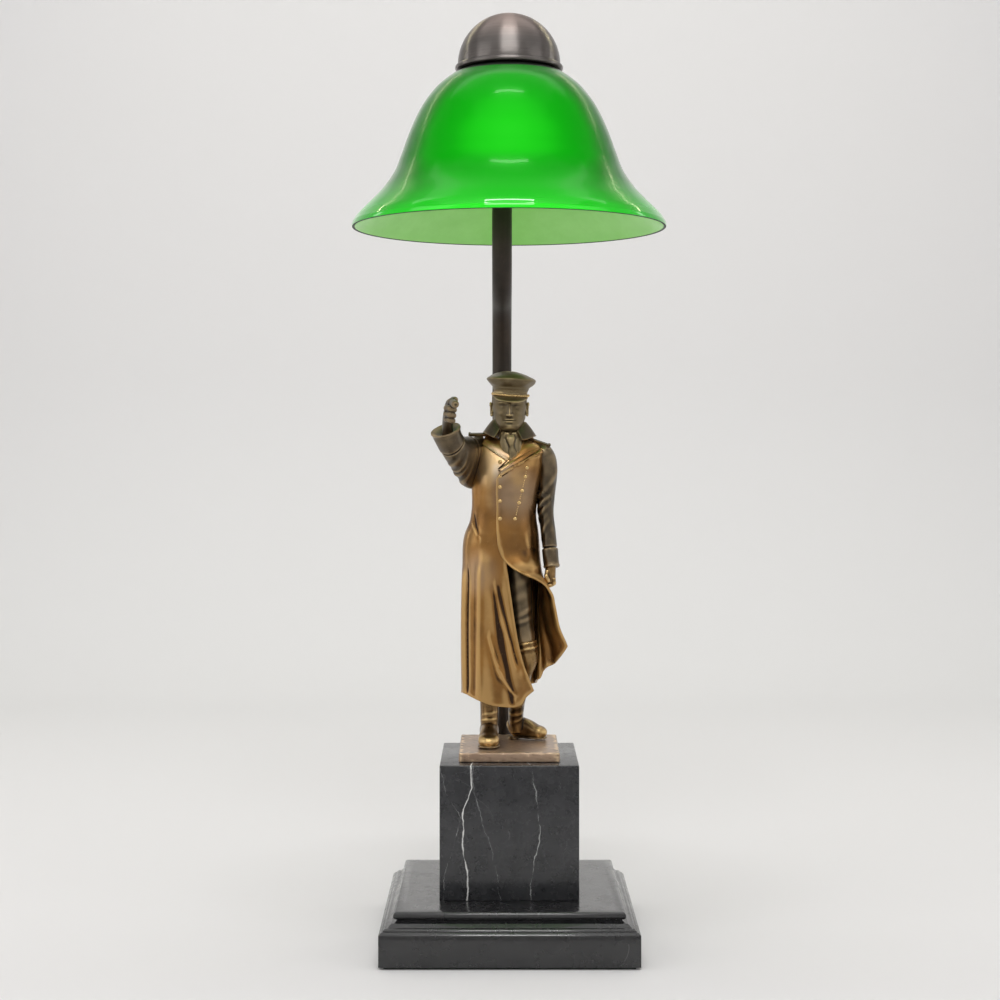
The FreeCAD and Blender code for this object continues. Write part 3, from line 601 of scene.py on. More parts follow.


# %% [markdown]
# The shade is blown in two skins: green glass outside and opal inside, so light comes back
# out of it as a deep, even green, and the inside reads as a pale green. Close to the lip the
# outer skin is glossy and a painted glow is added; further up, its coat is thinner. A Layer
# Weight paints the colour by viewing angle: a painted glow where the glass faces the eye,
# darker green towards the sides, and a greyish painted sheen at a grazing angle.

# %% Green glass outside
green_glass, tree, shader = start_material(
    "green_glass", Roughness=0.24, IOR=1.5, Specular_IOR_Level=0.14, Specular_Tint=(0.12, 1, 0.1, 1),
    Coat_Roughness=0.02)
place = object_place(tree)
lip_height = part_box("glass_shade")[0][2]
height = axis(tree, place, "Z")
polish = remap(tree, height, lip_height + 3 * MM, lip_height + 9 * MM, 1, 0.07)
tree.links.new(polish, shader.inputs["Coat Weight"])
near_lip = remap(tree, height, lip_height + 4 * MM, lip_height + 28 * MM, 1, 0)
facing = add_node(tree, "ShaderNodeLayerWeight", {"Blend": 0.22}).outputs["Facing"]
# Painted by viewing angle: darker green towards the sides and a greyish painted sheen at grazing.
wall = ramp(tree, facing, (
    (0.0, (0.001, 0.27, 0.002)), (0.22, (0.001, 0.26, 0.002)), (0.31, (0.002, 0.13, 0.003)),
    (0.46, (0.04, 0.14, 0.04)), (0.70, (0.36, 0.42, 0.36))))
swirl = add_speckle(tree, place, 14, 0.3, 0.75)
tree.links.new(over(tree, wall.outputs[0], swirl, 0.2, (0.001, 0.26, 0.002)), shader.inputs["Base Color"])
# Painted glow: emission brightest where the glass faces the eye, plus more near the lip; the shade itself gives no
# light.
painted_glow = ramp(tree, facing, (
    (0.02, (0.012, 0.40, 0.009)), (0.07, (0.012, 0.40, 0.009)), (0.125, (0.0, 0.11, 0.001)),
    (0.22, (0.0, 0.09, 0.0)), (0.42, (0.005, 0.02, 0.005))))
painted_glow.color_ramp.interpolation = "B_SPLINE"
painted_glow_colour = mix_colour(tree, near_lip, painted_glow.outputs[0], (0.0, 0.22, 0.0), blend="ADD")
shader.inputs["Emission Strength"].default_value = 1.0
tree.links.new(painted_glow_colour, shader.inputs["Emission Color"])
add_bump(tree, shader, add_speckle(tree, place, 9, 0.2, 0.8), 0.0006, 0.12)

# %% Opal glass inside with a painted glow, the cut rim, and black painted shade on the crown under the cap
opal, tree, shader = start_material("opal_inside", Roughness=0.22, IOR=1.5)
place = object_place(tree)
milk = mix_colour(tree, add_speckle(tree, place, 60, 0.3, 0.8), (0.33, 0.70, 0.20), (0.40, 0.78, 0.25))
tree.links.new(milk, shader.inputs["Base Color"])
# Painted glow: the opal emits a little green light of its own, standing in for light through the glass.
shader.inputs["Emission Strength"].default_value = 0.10
tree.links.new(mix_colour(tree, 0.5, milk, (0.1, 1.0, 0.02)), shader.inputs["Emission Color"])
add_bump(tree, shader, add_speckle(tree, place, 500, 0.3, 0.8), 0.00004, 0.4)

rim_glass, tree, shader = start_material("rim_glass", Roughness=0.45, IOR=1.5, Specular_IOR_Level=0.15)
tone = mix_colour(tree, add_speckle(tree, object_place(tree), 200, 0.35, 0.7),
                  (0.006, 0.020, 0.007), (0.014, 0.045, 0.014))
tree.links.new(tone, shader.inputs["Base Color"])

# Near-black painted shade on the crown glass, where the gap under the cap's rim falls dark.
painted_crown_shade, tree, shader = start_material("painted_crown_shade", Roughness=0.4, IOR=1.5)
tone = mix_colour(tree, add_speckle(tree, object_place(tree), 300),
                  (0.004, 0.005, 0.004), (0.010, 0.013, 0.010))
tree.links.new(tone, shader.inputs["Base Color"])

# %% [markdown]
# The bell's outline is read as a few radii and heights and drawn through smoothly. The wall
# is the same outline moved inwards by the glass's thickness, and the rim is ground round.

# %% Glass shade
shade_low, shade_high = (Vector(corner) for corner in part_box("glass_shade"))
RIM_HEIGHT = shade_low.z / MM
GLASS_WALL = 3.2
CROWN_HOLE = 6.0
CROWN_TOP = 106.8
BELL = ((CROWN_HOLE, CROWN_TOP), (12.0, CROWN_TOP), (18.0, CROWN_TOP), (26.0, 105.0), (33.0, 101.9),
        (39.4, 98.0), (48.2, 90.4), (57.0, 78.6), (64.5, 63.0), (70.2, 47.3), (75.0, 35.6),
        (83.2, 23.8), (94.2, 12.4), (99.3, 7.1), (102.2, 2.9))
RIM_CENTRE = (101.3, 1.15)
RIM_RADIUS = 1.05
INNER_FOOT = 3.0
RIM_REGION = (98.5, 0.5)
CROWN_REGION = (60, 99.6)


def shade_outline():
    """Outer skin down to the rim, the rim's arc, and the inner skin back up."""
    outer = smooth_line(BELL, 7)
    inner = []
    for before, here, after in zip(outer, outer[1:], outer[2:]):
        run = Vector((after[0] - before[0], after[1] - before[1])).normalized()
        inner.append((here[0] + run.y * GLASS_WALL, here[1] - run.x * GLASS_WALL))
    inner = [point for point in inner if point[1] > INNER_FOOT]
    rim = arc_line(RIM_CENTRE, RIM_RADIUS, 25, -145, 10)
    outline = outer + rim + inner[::-1] + [(CROWN_HOLE, CROWN_TOP - GLASS_WALL)]
    return [(radius, height + RIM_HEIGHT) for radius, height in outline]


shade = lathe(shade_outline(), 144, 50)
finish_piece(shade, "glass_bell", green_glass, "shade", ["glass_shade"])
for material in (opal, rim_glass, painted_crown_shade):
    shade.data.materials.append(material)
for face in shade.data.polygons:
    outwards = face.normal.dot(Vector((face.center.x, face.center.y, 0)).normalized())
    height_up = face.center.z / MM - RIM_HEIGHT
    radius = math.hypot(face.center.x, face.center.y) / MM
    if radius > RIM_REGION[0] and height_up < RIM_REGION[1]:
        face.material_index = 2
    elif outwards < -0.02 or (face.normal.z <= 0 and radius < CROWN_REGION[0]):
        face.material_index = 1
    # Faces high on the crown, under the cap, take the black painted shade.
    elif height_up > CROWN_REGION[1]:
        face.material_index = 3

# %% [markdown]
# The cap is a thin metal bowl spun on a lathe and toned brown-grey. The spinning tool leaves
# fine rings all round it, so its brightness and its bump follow the height, with a little
# unevenness. Its colour turns lighter and red-brown towards the top.

# %% Spun, toned metal
toned, tree, shader = start_material(
    "spun_toned_metal", Metallic=1.0, Anisotropic=0.85, Anisotropic_Rotation=0.25)
place = object_place(tree)
rings = noise(tree, stretched(tree, place, (6, 6, 900)), 2.2, 8, 0.7)
top_share = remap(tree, axis(tree, place, "Z"), 0.578, 0.6)
base = mix_colour(tree, top_share, (0.125, 0.112, 0.106), (0.300, 0.205, 0.170))
base = mix_colour(tree, rings, mix_colour(tree, 0.35, base, (0.05, 0.045, 0.04)),
                  mix_colour(tree, 0.35, base, (0.42, 0.39, 0.37)))
tree.links.new(base, shader.inputs["Base Color"])
uneven_gloss(tree, shader, rings, 0.26, 0.4, 0.3, 0.7)
add_bump(tree, shader, rings, 0.00006, 0.5)

# %% Dome cap with its beaded edge
dome_low, dome_high = (Vector(corner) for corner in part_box("dome_cap"))
DOME_BOTTOM = dome_low.z / MM
DOME_TOP = dome_high.z / MM
DOME_RADIUS = 33.5
DOME_WALL = 1.2
DOME_CENTRE = DOME_TOP - DOME_RADIUS


def dome_outline():
    outer = arc_line((0, DOME_CENTRE), DOME_RADIUS, 90, 2, 40)
    step = [(DOME_RADIUS - 0.1, DOME_CENTRE + 0.3), (DOME_RADIUS + 0.25, DOME_CENTRE)]
    bead = arc_line((DOME_RADIUS + 0.2, DOME_BOTTOM + 1.75), 1.58, 80, -90, 10)
    foot = [(DOME_RADIUS - DOME_WALL, DOME_BOTTOM + 0.17)]
    inner = arc_line((0, DOME_CENTRE), DOME_RADIUS - DOME_WALL, 2, 90, 30)
    return outer + step + bead + foot + inner


dome = lathe(dome_outline(), 128, 35)
finish_piece(dome, "spun_dome", toned, "cap", ["dome_cap"])

# %% [markdown]
# The stem is brass tube with a brown-black patina: nearly black, satin, with faint drawn
# lines along its length and rubbed brighter patches.

# %% Dark patinated brass
dark_brass, tree, shader = start_material("dark_patina_brass", Metallic=0.75)
place = object_place(tree)
lines = noise(tree, stretched(tree, place, (700, 700, 14)), 1, 6)
patch = add_speckle(tree, place, 24, 0.35, 0.7)
tone = mix_colour(tree, patch, (0.030, 0.025, 0.021), (0.075, 0.056, 0.042))
tree.links.new(over(tree, tone, lines, 0.5, (0.016, 0.014, 0.013)), shader.inputs["Base Color"])
uneven_gloss(tree, shader, patch, 0.34, 0.5)
add_bump(tree, shader, lines, 0.00004, 0.4)

# %% [markdown]
# The tube is bent on formers, so its centre line is straight runs and arcs. A curve takes
# those points, its bevel gives the tube's thickness, and it is then converted to a mesh.

# %% Stem
STEM_RADIUS = 6.5
STEM_X = -4.6
STEM_Y = 52.0
STEM_FOOT = 29.0
BEND_LOW = 376.0
BEND_RISE = 80.0
JOG_LOW = 470.0
JOG_RISE = 40.0
STEM_HEAD = 526.1


def double_bend_points(start, shift, rise, steps):
    """Centre line of two equal arcs that carry a rising line sideways by shift."""
    side = shift.length
    radius = (rise ** 2 + side ** 2) / (4 * side)
    turn = math.asin(rise / (2 * radius))
    way = shift.normalized()
    end = start + shift + Vector((0, 0, rise))
    lower, upper = [], []
    for step in range(steps + 1):
        angle = turn * step / steps
        aside, up = way * radius * (1 - math.cos(angle)), Vector((0, 0, radius * math.sin(angle)))
        lower.append(start + aside + up)
        upper.append(end - aside - up)
    return lower + upper[-2::-1]


def stem_line():
    """From the foot, through the bend over the cap and the small jog, to the hub."""
    line = [Vector((STEM_X, STEM_Y, STEM_FOOT)), Vector((STEM_X, STEM_Y, BEND_LOW - 60))]
    line += double_bend_points(Vector((STEM_X, STEM_Y, BEND_LOW)), Vector((0, -STEM_Y, 0)), BEND_RISE, 14)
    line += double_bend_points(Vector((STEM_X, 0, JOG_LOW)), Vector((-STEM_X, 0, 0)), JOG_RISE, 5)
    return line + [Vector((0, 0, STEM_HEAD))]


def tube_on(line, radius, sides):
    """A bevelled curve through these points, converted to a mesh with closed ends."""
    bpy.ops.curve.primitive_nurbs_path_add()
    curve = bpy.context.object
    curve.location = (0, 0, 0)
    curve.data.splines.clear()
    spline = curve.data.splines.new("POLY")
    spline.points.add(len(line) - 1)
    for point, place_on in zip(spline.points, line):
        point.co = (*(place_on * MM), 1)
    curve.data.bevel_depth = radius * MM
    curve.data.bevel_resolution = sides // 2
    curve.data.use_fill_caps = True
    choose(curve)
    bpy.ops.object.convert(target="MESH")
    obj = bpy.context.object
    clean_mesh(obj, 0.000001)
    smooth_shade(obj, 50)
    return obj


stem = tube_on(stem_line(), STEM_RADIUS, 32)
finish_piece(stem, "bent_stem", dark_brass, "lamp", ["stem_tube"])

# %% [markdown]
# Under the shade hang two small lamps on a brass hub. From the front the shade hides them,
# but they show from below, so they get their real finishes: lacquered brass, glazed
# porcelain, a rolled aluminium thread and frosted glass.

# %% Materials of the lamp fittings
def plain_finish(name, dark, light, roughness, metallic, grain, bump=0.00003, **sockets):
    """A finish of two close tones broken up by fine noise, with a slight bump."""
    material, tree, shader = start_material(name, Roughness=roughness, Metallic=metallic, **sockets)
    place = object_place(tree)
    mask = add_speckle(tree, place, grain, 0.3, 0.75)
    tree.links.new(mix_colour(tree, mask, dark, light), shader.inputs["Base Color"])
    add_bump(tree, shader, mask, bump, 0.5)
    return material


lamp_brass = plain_finish("lacquered_brass", (0.42, 0.29, 0.10), (0.62, 0.45, 0.18), 0.3, 1, 260)
zinc = plain_finish("zinc_steel", (0.36, 0.37, 0.38), (0.52, 0.53, 0.54), 0.36, 1, 300)
porcelain = plain_finish("glazed_porcelain", (0.76, 0.75, 0.70), (0.86, 0.85, 0.81), 0.14, 0, 200)
rubber = plain_finish("black_rubber", (0.014, 0.014, 0.014), (0.03, 0.03, 0.03), 0.75, 0, 900)
gland_plastic = plain_finish("gland_plastic", (0.012, 0.012, 0.012), (0.024, 0.024, 0.024), 0.5, 0, 700)
thread_metal = plain_finish("rolled_thread", (0.55, 0.55, 0.56), (0.72, 0.72, 0.73), 0.28, 1, 300)
frosted = plain_finish("frosted_bulb", (0.80, 0.80, 0.77), (0.90, 0.90, 0.87), 0.35, 0, 400,
                       Transmission_Weight=0.35, IOR=1.45)
felt = plain_finish("green_black_felt", (0.012, 0.02, 0.014), (0.035, 0.05, 0.038), 0.95, 0, 2200, 0.0002,
                    Sheen_Weight=0.4)
CAD_FINISHES = (
    (felt, "base_felt"), (gland_plastic, "cord_gland"), (toned, "dome_boss"),
    (zinc, "tie_rods", "tie_washers", "tie_nuts", "stem_pipe", "stem_washer", "stem_nut", "crown_pipe",
     "carrier_nut"),
    (lamp_brass, "socket_arm_left", "socket_arm_right", "holder_contact_left", "holder_contact_right"),
    (rubber, "rubber_washer_lower", "rubber_washer_upper"),
)
for material, *nodes in CAD_FINISHES:
    for node in nodes:
        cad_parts[node].data.materials.clear()
        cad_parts[node].data.materials.append(material)

# %% [markdown]
# Hub, carrier disc, lampholders and bulbs are turned parts again. Those on the slanted arms
# are spun upright, along their own axis, and then laid along the arm.

# %% Fittings under the shade
HUB_TOP = 544.1
HUB_LOW = 524.1
HUB_RADIUS = 14.0
ARM_TILT = 53.0
ARM_OFFSET = 10.0
ARM_DROP = 7.0
HOLDER_START = 16.5
HOLDER_END = 42.5
HOLDER_RADIUS = 13.0
BULB_START = 27.2
BULB_CAP_END = 42.2
BULB_END = 71.2
BULB_RADIUS = 12.3
THREAD_RADIUS = 7.0


def hub_outline():
    """Hollow hub with a groove under its lid."""
    bore = STEM_RADIUS + 0.1
    body = [(bore, HUB_LOW), (HUB_RADIUS - 1.2, HUB_LOW), (HUB_RADIUS, HUB_LOW + 1.2)]
    body += [(HUB_RADIUS, HUB_TOP - 2.3), (HUB_RADIUS - 0.4, HUB_TOP - 2.0), (HUB_RADIUS, HUB_TOP - 1.7)]
    body += [(HUB_RADIUS, HUB_TOP - 0.6), (HUB_RADIUS - 0.6, HUB_TOP), (5.1, HUB_TOP)]
    body += [(5.1, HUB_TOP - 2), (HUB_RADIUS - 2, HUB_TOP - 2), (HUB_RADIUS - 2, HUB_LOW + 2), (bore, HUB_LOW + 2)]
    return body


def along_arm(obj, side):
    """Lay a piece that was spun upright along one of the two arms."""
    direction = Vector((side * math.cos(math.radians(ARM_TILT)), 0, -math.sin(math.radians(ARM_TILT))))
    obj.rotation_mode = "QUATERNION"
    obj.rotation_quaternion = Vector((0, 0, 1)).rotation_difference(direction)
    obj.location = Vector((side * ARM_OFFSET, 0, HUB_TOP - ARM_DROP)) * MM
    settle(obj)


def holder_outline():
    """Brass cup with two rolled beads and an open mouth."""
    wall, body = 1.2, HOLDER_RADIUS - 0.5
    outer = [(4.1, HOLDER_START), (HOLDER_RADIUS - 2.5, HOLDER_START),
             (HOLDER_RADIUS - 0.6, HOLDER_START + 1.4), (body, HOLDER_START + 8)]
    for middle in (HOLDER_START + 9.4, HOLDER_END - 2.2):
        outer += [(body, middle - 1.1), *arc_line((body, middle), 0.5, -60, 60, 4), (body, middle + 1.1)]
    return outer + [(body, HOLDER_END), (HOLDER_RADIUS - wall, HOLDER_END),
                    (HOLDER_RADIUS - wall, HOLDER_START + wall + 1), (4.1, HOLDER_START + wall)]


def thread_outline():
    """Rolled screw thread as rings, a shouldered end and its centre contact."""
    outline = [(0, BULB_START - 0.2), (2.2, BULB_START - 0.2), (3.0, BULB_START + 0.3),
               (5.6, BULB_START + 1.2)]
    turns, pitch, steps = 4, 2.8, 6
    for turn in range(turns):
        low = BULB_START + 1.6 + turn * pitch
        for step in range(steps):
            share = step / steps
            depth = 0.35 - 0.33 * math.cos(2 * math.pi * share)
            outline.append((THREAD_RADIUS - depth, low + pitch * share))
    return outline + [(THREAD_RADIUS - 0.2, BULB_CAP_END), (THREAD_RADIUS - 0.8, BULB_CAP_END),
                      (0, BULB_CAP_END - 0.5)]


def bulb_outline():
    """Frosted globe with a narrow neck that stands in the thread."""
    centre = BULB_END - BULB_RADIUS
    neck = smooth_line([(6.2, BULB_CAP_END - 1), (6.6, BULB_CAP_END + 2), (9.4, BULB_CAP_END + 8),
                        (BULB_RADIUS, centre)], 6)
    dome_end = arc_line((0, centre), BULB_RADIUS, 0, 90, 16)
    return [(0, BULB_CAP_END - 1)] + neck + dome_end[1:]


def insert_outline():
    """Porcelain core of the holder, open towards the bulb."""
    end = HOLDER_END - 1.2
    return [(7.3, end), (10.6, end), (11.7, end - 0.8), (11.7, HOLDER_START + 4), (0, HOLDER_START + 4),
            (0, HOLDER_START + 9.2), (7.3, HOLDER_START + 9.2)]


hub = lathe(hub_outline(), 64, 30)
finish_piece(hub, "brass_hub", lamp_brass, "lamp", ["hub_body", "hub_lid"])
disc_low, disc_high = (corner[2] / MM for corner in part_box("shade_carrier"))
disc = lathe([(5.1, disc_low), (15.2, disc_low), (16.0, disc_low + 0.7), (15.4, disc_high),
              (5.1, disc_high)], 64, 30)
finish_piece(disc, "carrier_disc", lamp_brass, "lamp", ["shade_carrier"])
for side, name in ((-1, "left"), (1, "right")):
    for label, outline, angle, material, body, slot, node in (
            ("holder_cup_", holder_outline(), 30, lamp_brass, "lamp", "brass", "holder_shell_"),
            ("holder_core_", insert_outline(), 30, porcelain, "lamp", "porcelain", "holder_insert_"),
            ("bulb_screw_", thread_outline(), 40, thread_metal, "bulb_" + name, "bulb_metal", "bulb_cap_"),
            ("bulb_globe_", bulb_outline(), 50, frosted, "bulb_" + name, "bulb_glass", "bulb_glass_")):
        piece = lathe(outline, 48, angle)
        along_arm(piece, side)
        finish_piece(piece, label + name, material, body, [node + name])

# %% [markdown]
# The figure is cast bronze. Its patina is thin where hands and dust cloths rub it, so raised
# places are golden and smooth, and hollows stay dark brown. The mesh itself knows which
# places are raised: each point is compared with the average of its neighbours, near and far.
# Two attributes hold the result, and the patina's node group turns them into masks.

# %% Measure hollows and ridges on a mesh
FINE_STEPS, FINE_REACH = 6, 0.10
WIDE_STEPS, WIDE_REACH = 60, 0.55


def points_and_normals(mesh):
    """The mesh's points and their normals, as two arrays of three columns."""
    out = []
    for label in ("co", "normal"):
        values = np.empty(len(mesh.vertices) * 3)
        mesh.vertices.foreach_get(label, values)
        out.append(values.reshape(-1, 3))
    return out


def measure_relief(obj):
    """Store how far each point stands above or below its smoothed surroundings."""
    mesh = obj.data
    count = len(mesh.vertices)
    co, normal = points_and_normals(mesh)
    edges = np.empty(len(mesh.edges) * 2, dtype=np.int64)
    mesh.edges.foreach_get("vertices", edges)
    first, second = edges.reshape(-1, 2).T
    degree = np.bincount(first, minlength=count) + np.bincount(second, minlength=count)
    degree = np.maximum(degree, 1)[:, None]

    def neighbours(values):
        total = np.zeros_like(values)
        for axis in range(values.shape[1]):
            total[:, axis] = (np.bincount(first, values[second, axis], count)
                              + np.bincount(second, values[first, axis], count))
        return total / degree

    smooth = co.copy()
    for step in range(1, WIDE_STEPS + 1):
        smooth = 0.5 * smooth + 0.5 * neighbours(smooth)
        for label, last, reach in (("fine_relief", FINE_STEPS, FINE_REACH),
                                   ("wide_relief", WIDE_STEPS, WIDE_REACH)):
            if step == last:
                above = ((co - smooth) * normal).sum(axis=1) / MM
                scaled = np.clip(above / reach, -1, 1) * 0.5 + 0.5
                attribute = mesh.attributes.new(label, "FLOAT", "POINT")
                attribute.data.foreach_set("value", scaled.astype(np.float32))


# %% [markdown]
# The patina group mixes the two reliefs into a hollow mask and a rubbed mask, and adds clouds
# and specks of its own. Each part of the figure then chooses its own tones: the coat is warm
# and golden, and the cap, head and sleeves are darker and greener, as they are less rubbed.

# %% Shared effect: patina masks
def build_patina_masks():
    """Masks of hollows and rubbed places out of the two reliefs, with clouds and grain."""
    group, entry, leave = start_group("patina_masks", {"Fine": 0.5, "Wide": 0.5},
                                      ["Hollow", "Rubbed", "Cloud", "Grain"])
    place = entry["Place"]
    relief = maths(group, "ADD", maths(group, "MULTIPLY", entry["Fine"], 0.5),
                   maths(group, "MULTIPLY", entry["Wide"], 0.5))
    stain = maths(group, "SUBTRACT", noise(group, place, 150, 5, 0.6), 0.5)
    uneven = maths(group, "ADD", relief, maths(group, "MULTIPLY", stain, 0.16))
    for label, mask in (("Hollow", remap(group, uneven, 0.47, 0.22, kind="SMOOTHSTEP")),
                        ("Rubbed", remap(group, uneven, 0.55, 0.86, kind="SMOOTHSTEP")),
                        ("Cloud", remap(group, noise(group, place, 26, 4, 0.55), 0.34, 0.66)),
                        ("Grain", noise(group, place, 900, 4, 0.7))):
        group.links.new(mask, leave[label])
    return group


patina_masks = build_patina_masks()


# %% Bronze in several tones
# Colours of painted highlight and painted shade, laid at listed places on the figure.
PAINTED_HIGHLIGHT = (0.66, 0.55, 0.41)
PAINTED_SHADE = (0.012, 0.010, 0.008)


def bronze(name, dark, brown, gold, deep, rub_share, metallic=0.9, rough=(0.27, 0.42), painted_places=()):
    """Patinated bronze: deep in hollows, brown to gold in clouds, brighter where rubbed.

    The listed places paint light and shade: x, y, z and radius in millimetres, the share, and the colour; pale ones
    are painted highlights, near-black ones painted shade.
    """
    material, tree, shader = start_material(name, Metallic=metallic, Coat_Weight=0.12, Coat_Roughness=0.25)
    place = object_place(tree)
    fine, wide = (add_node(tree, "ShaderNodeAttribute", attribute_name=label).outputs["Fac"]
                  for label in ("fine_relief", "wide_relief"))
    masks = add_node(tree, "ShaderNodeGroup", {"Place": place, "Fine": fine, "Wide": wide},
                     node_tree=patina_masks).outputs
    tone = mix_colour(tree, masks["Cloud"], dark, brown)
    # Painted highlights and painted shade, each laid round its listed place.
    for *centre, radius, share, colour in painted_places:
        inputs = {0: place, 1: [value * MM for value in centre]}
        distance = add_node(tree, "ShaderNodeVectorMath", inputs, operation="DISTANCE").outputs["Value"]
        near = remap(tree, distance, radius * MM, radius * 0.2 * MM, 0, share, "SMOOTHSTEP")
        tone = mix_colour(tree, near, tone, colour)
    tone = over(tree, tone, masks["Rubbed"], rub_share, gold)
    tone = mix_colour(tree, masks["Hollow"], tone, deep)
    tone = over(tree, tone, remap(tree, masks["Grain"], 0.62, 0.72), 0.30, gold)
    tree.links.new(tone, shader.inputs["Base Color"])
    uneven_gloss(tree, shader, masks["Cloud"], *rough)
    add_bump(tree, shader, masks["Grain"], 0.00006, 0.35)
    return material


# On the coat: pale painted highlights on the upper chest, the middle of the front and the lower left skirt, and
# painted shade in the opening round the leg.
coat_bronze = bronze("coat_bronze", (0.190, 0.092, 0.028), (0.340, 0.165, 0.042), (0.62, 0.39, 0.15),
                     (0.040, 0.020, 0.009), 0.65,
                     painted_places=((-12, -14, 307, 17, 0.9, PAINTED_HIGHLIGHT), (4, -17, 288, 24, 0.3, PAINTED_HIGHLIGHT),
                               (-22, -14, 236, 20, 0.25, PAINTED_HIGHLIGHT), (8, 8, 215, 38, 0.35, PAINTED_SHADE)))
sleeve_bronze = bronze("sleeve_bronze", (0.058, 0.045, 0.030), (0.095, 0.072, 0.046), (0.34, 0.25, 0.14),
                       (0.018, 0.012, 0.008), 0.75)
head_bronze = bronze("head_bronze", (0.115, 0.085, 0.042), (0.175, 0.130, 0.064), (0.50, 0.38, 0.19),
                     (0.050, 0.038, 0.022), 0.85, metallic=0.7, rough=(0.34, 0.48))
# On the boots: painted shade over the striding boot's shaft, at the back between the legs.
boot_bronze = bronze("boot_bronze", (0.140, 0.080, 0.032), (0.240, 0.140, 0.050), (0.72, 0.50, 0.22),
                     (0.016, 0.010, 0.006), 0.9, rough=(0.2, 0.36),
                     painted_places=((8, 24, 152, 30, 0.95, PAINTED_SHADE),))
plate_bronze = bronze("plate_bronze", (0.330, 0.220, 0.150), (0.470, 0.330, 0.230), (0.80, 0.60, 0.38),
                      (0.240, 0.160, 0.105), 0.9, metallic=0.55)

# %% [markdown]
# The operators are good at crisp parts, but a coat's drape isn't one. It is modelled as a
# grid whose points come from a few outlines at chosen heights, as a sculptor builds on a
# frame, and the folds are then pressed into it or raised from it along drawn lines.

# %% Helpers for modelled grids
def between(keys, where, column=1):
    """Smooth value at each place of an array, through keys whose first column rises."""
    table = np.array(keys, float)
    places, values = table[:, 0], table[:, column]
    where = np.clip(where, places[0], places[-1])
    index = np.clip(np.searchsorted(places, where, side="right") - 1, 0, len(places) - 2)
    slopes = np.gradient(values, places)
    gap = places[index + 1] - places[index]
    t = (where - places[index]) / gap
    return ((2 * t ** 3 - 3 * t ** 2 + 1) * values[index] + (t ** 3 - 2 * t ** 2 + t) * gap * slopes[index]
            + (-2 * t ** 3 + 3 * t ** 2) * values[index + 1] + (t ** 3 - t ** 2) * gap * slopes[index + 1])


def ease(low, high, value):
    """0 at low, 1 at high, and a soft step between; low may be the larger."""
    t = np.clip((value - low) / (high - low), 0, 1)
    return t * t * (3 - 2 * t)


def squared(wave, power):
    """A sine or cosine with its sign kept and its size bent, which squares a circle off."""
    return np.sign(wave) * np.abs(wave) ** power


def ridge(value, at, width):
    """A soft ridge of height 1 where the value comes to this place."""
    return np.exp(-((value - at) / width) ** 2)


def grid_normals(points, around):
    """Normals of a rows x columns grid of points, all to one side."""
    if around:
        across = np.roll(points, -1, axis=1) - np.roll(points, 1, axis=1)
    else:
        across = np.gradient(points, axis=1)
    along = np.gradient(points, axis=0)
    normal = np.cross(across, along)
    return normal / np.maximum(np.linalg.norm(normal, axis=2, keepdims=True), 1e-9)


def mesh_object(name, vertices, faces):
    mesh = bpy.data.meshes.new(name)
    mesh.from_pydata(vertices, [], faces)
    mesh.update()
    obj = bpy.data.objects.new(name, mesh)
    bpy.context.collection.objects.link(obj)
    return obj


def grid_object(name, points, around=False, ends=False, sink=0):
    """A mesh from a rows x columns grid of points in millimetres; sink hollows the last end."""
    rows, columns = points.shape[:2]
    vertices = (points.reshape(-1, 3) * MM).tolist()
    faces = []
    for row in range(rows - 1):
        low, high = row * columns, (row + 1) * columns
        for column in range(columns if around else columns - 1):
            right = (column + 1) % columns
            faces.append((low + column, low + right, high + right, high + column))
    if ends:
        for row, turn in ((0, 1), (rows - 1, -1)):
            centre = points[row].mean(axis=0)
            if sink and row:
                inwards = points[row - 1].mean(axis=0) - centre
                centre = centre + sink * inwards / np.linalg.norm(inwards)
            for column in range(columns):
                pair = (row * columns + column, row * columns + (column + 1) % columns)
                faces.append((len(vertices), *pair[::-turn]))
            vertices.append((centre * MM).tolist())
    obj = mesh_object(name, vertices, faces)
    with edit_mode(obj):
        bpy.ops.mesh.normals_make_consistent(inside=False)
    bpy.ops.object.shade_smooth()
    return obj


def drawn_fold(points, facing, line, width, rise, sharp=False, fade=6.0):
    """Height of one fold on a grid, along a line drawn on the front (facing -1) or back (1)."""
    x, z = points[..., 0], points[..., 2]
    top = max(place[1] for place in line)
    bottom = min(place[1] for place in line)
    away = (x - between(sorted((z, x) for x, z in line), z)) / width
    shape = np.exp(-np.abs(away) * 1.4) if sharp else np.exp(-away ** 2)
    reach = ease(bottom - fade, bottom + fade, z) * (1 - ease(top - fade, top + fade, z))
    return rise * shape * reach * facing


# %% [markdown]
# The greatcoat is one long sheet. It starts at the edge of the under panel, runs round the
# back, and comes to the front again on top of itself, where the closing edge shows as a line.
# Below the waist that edge swings away in the wind, so the sheet's end leaves the body and
# curls out, and one looks into the lining. Every row of the grid is worked out that way.

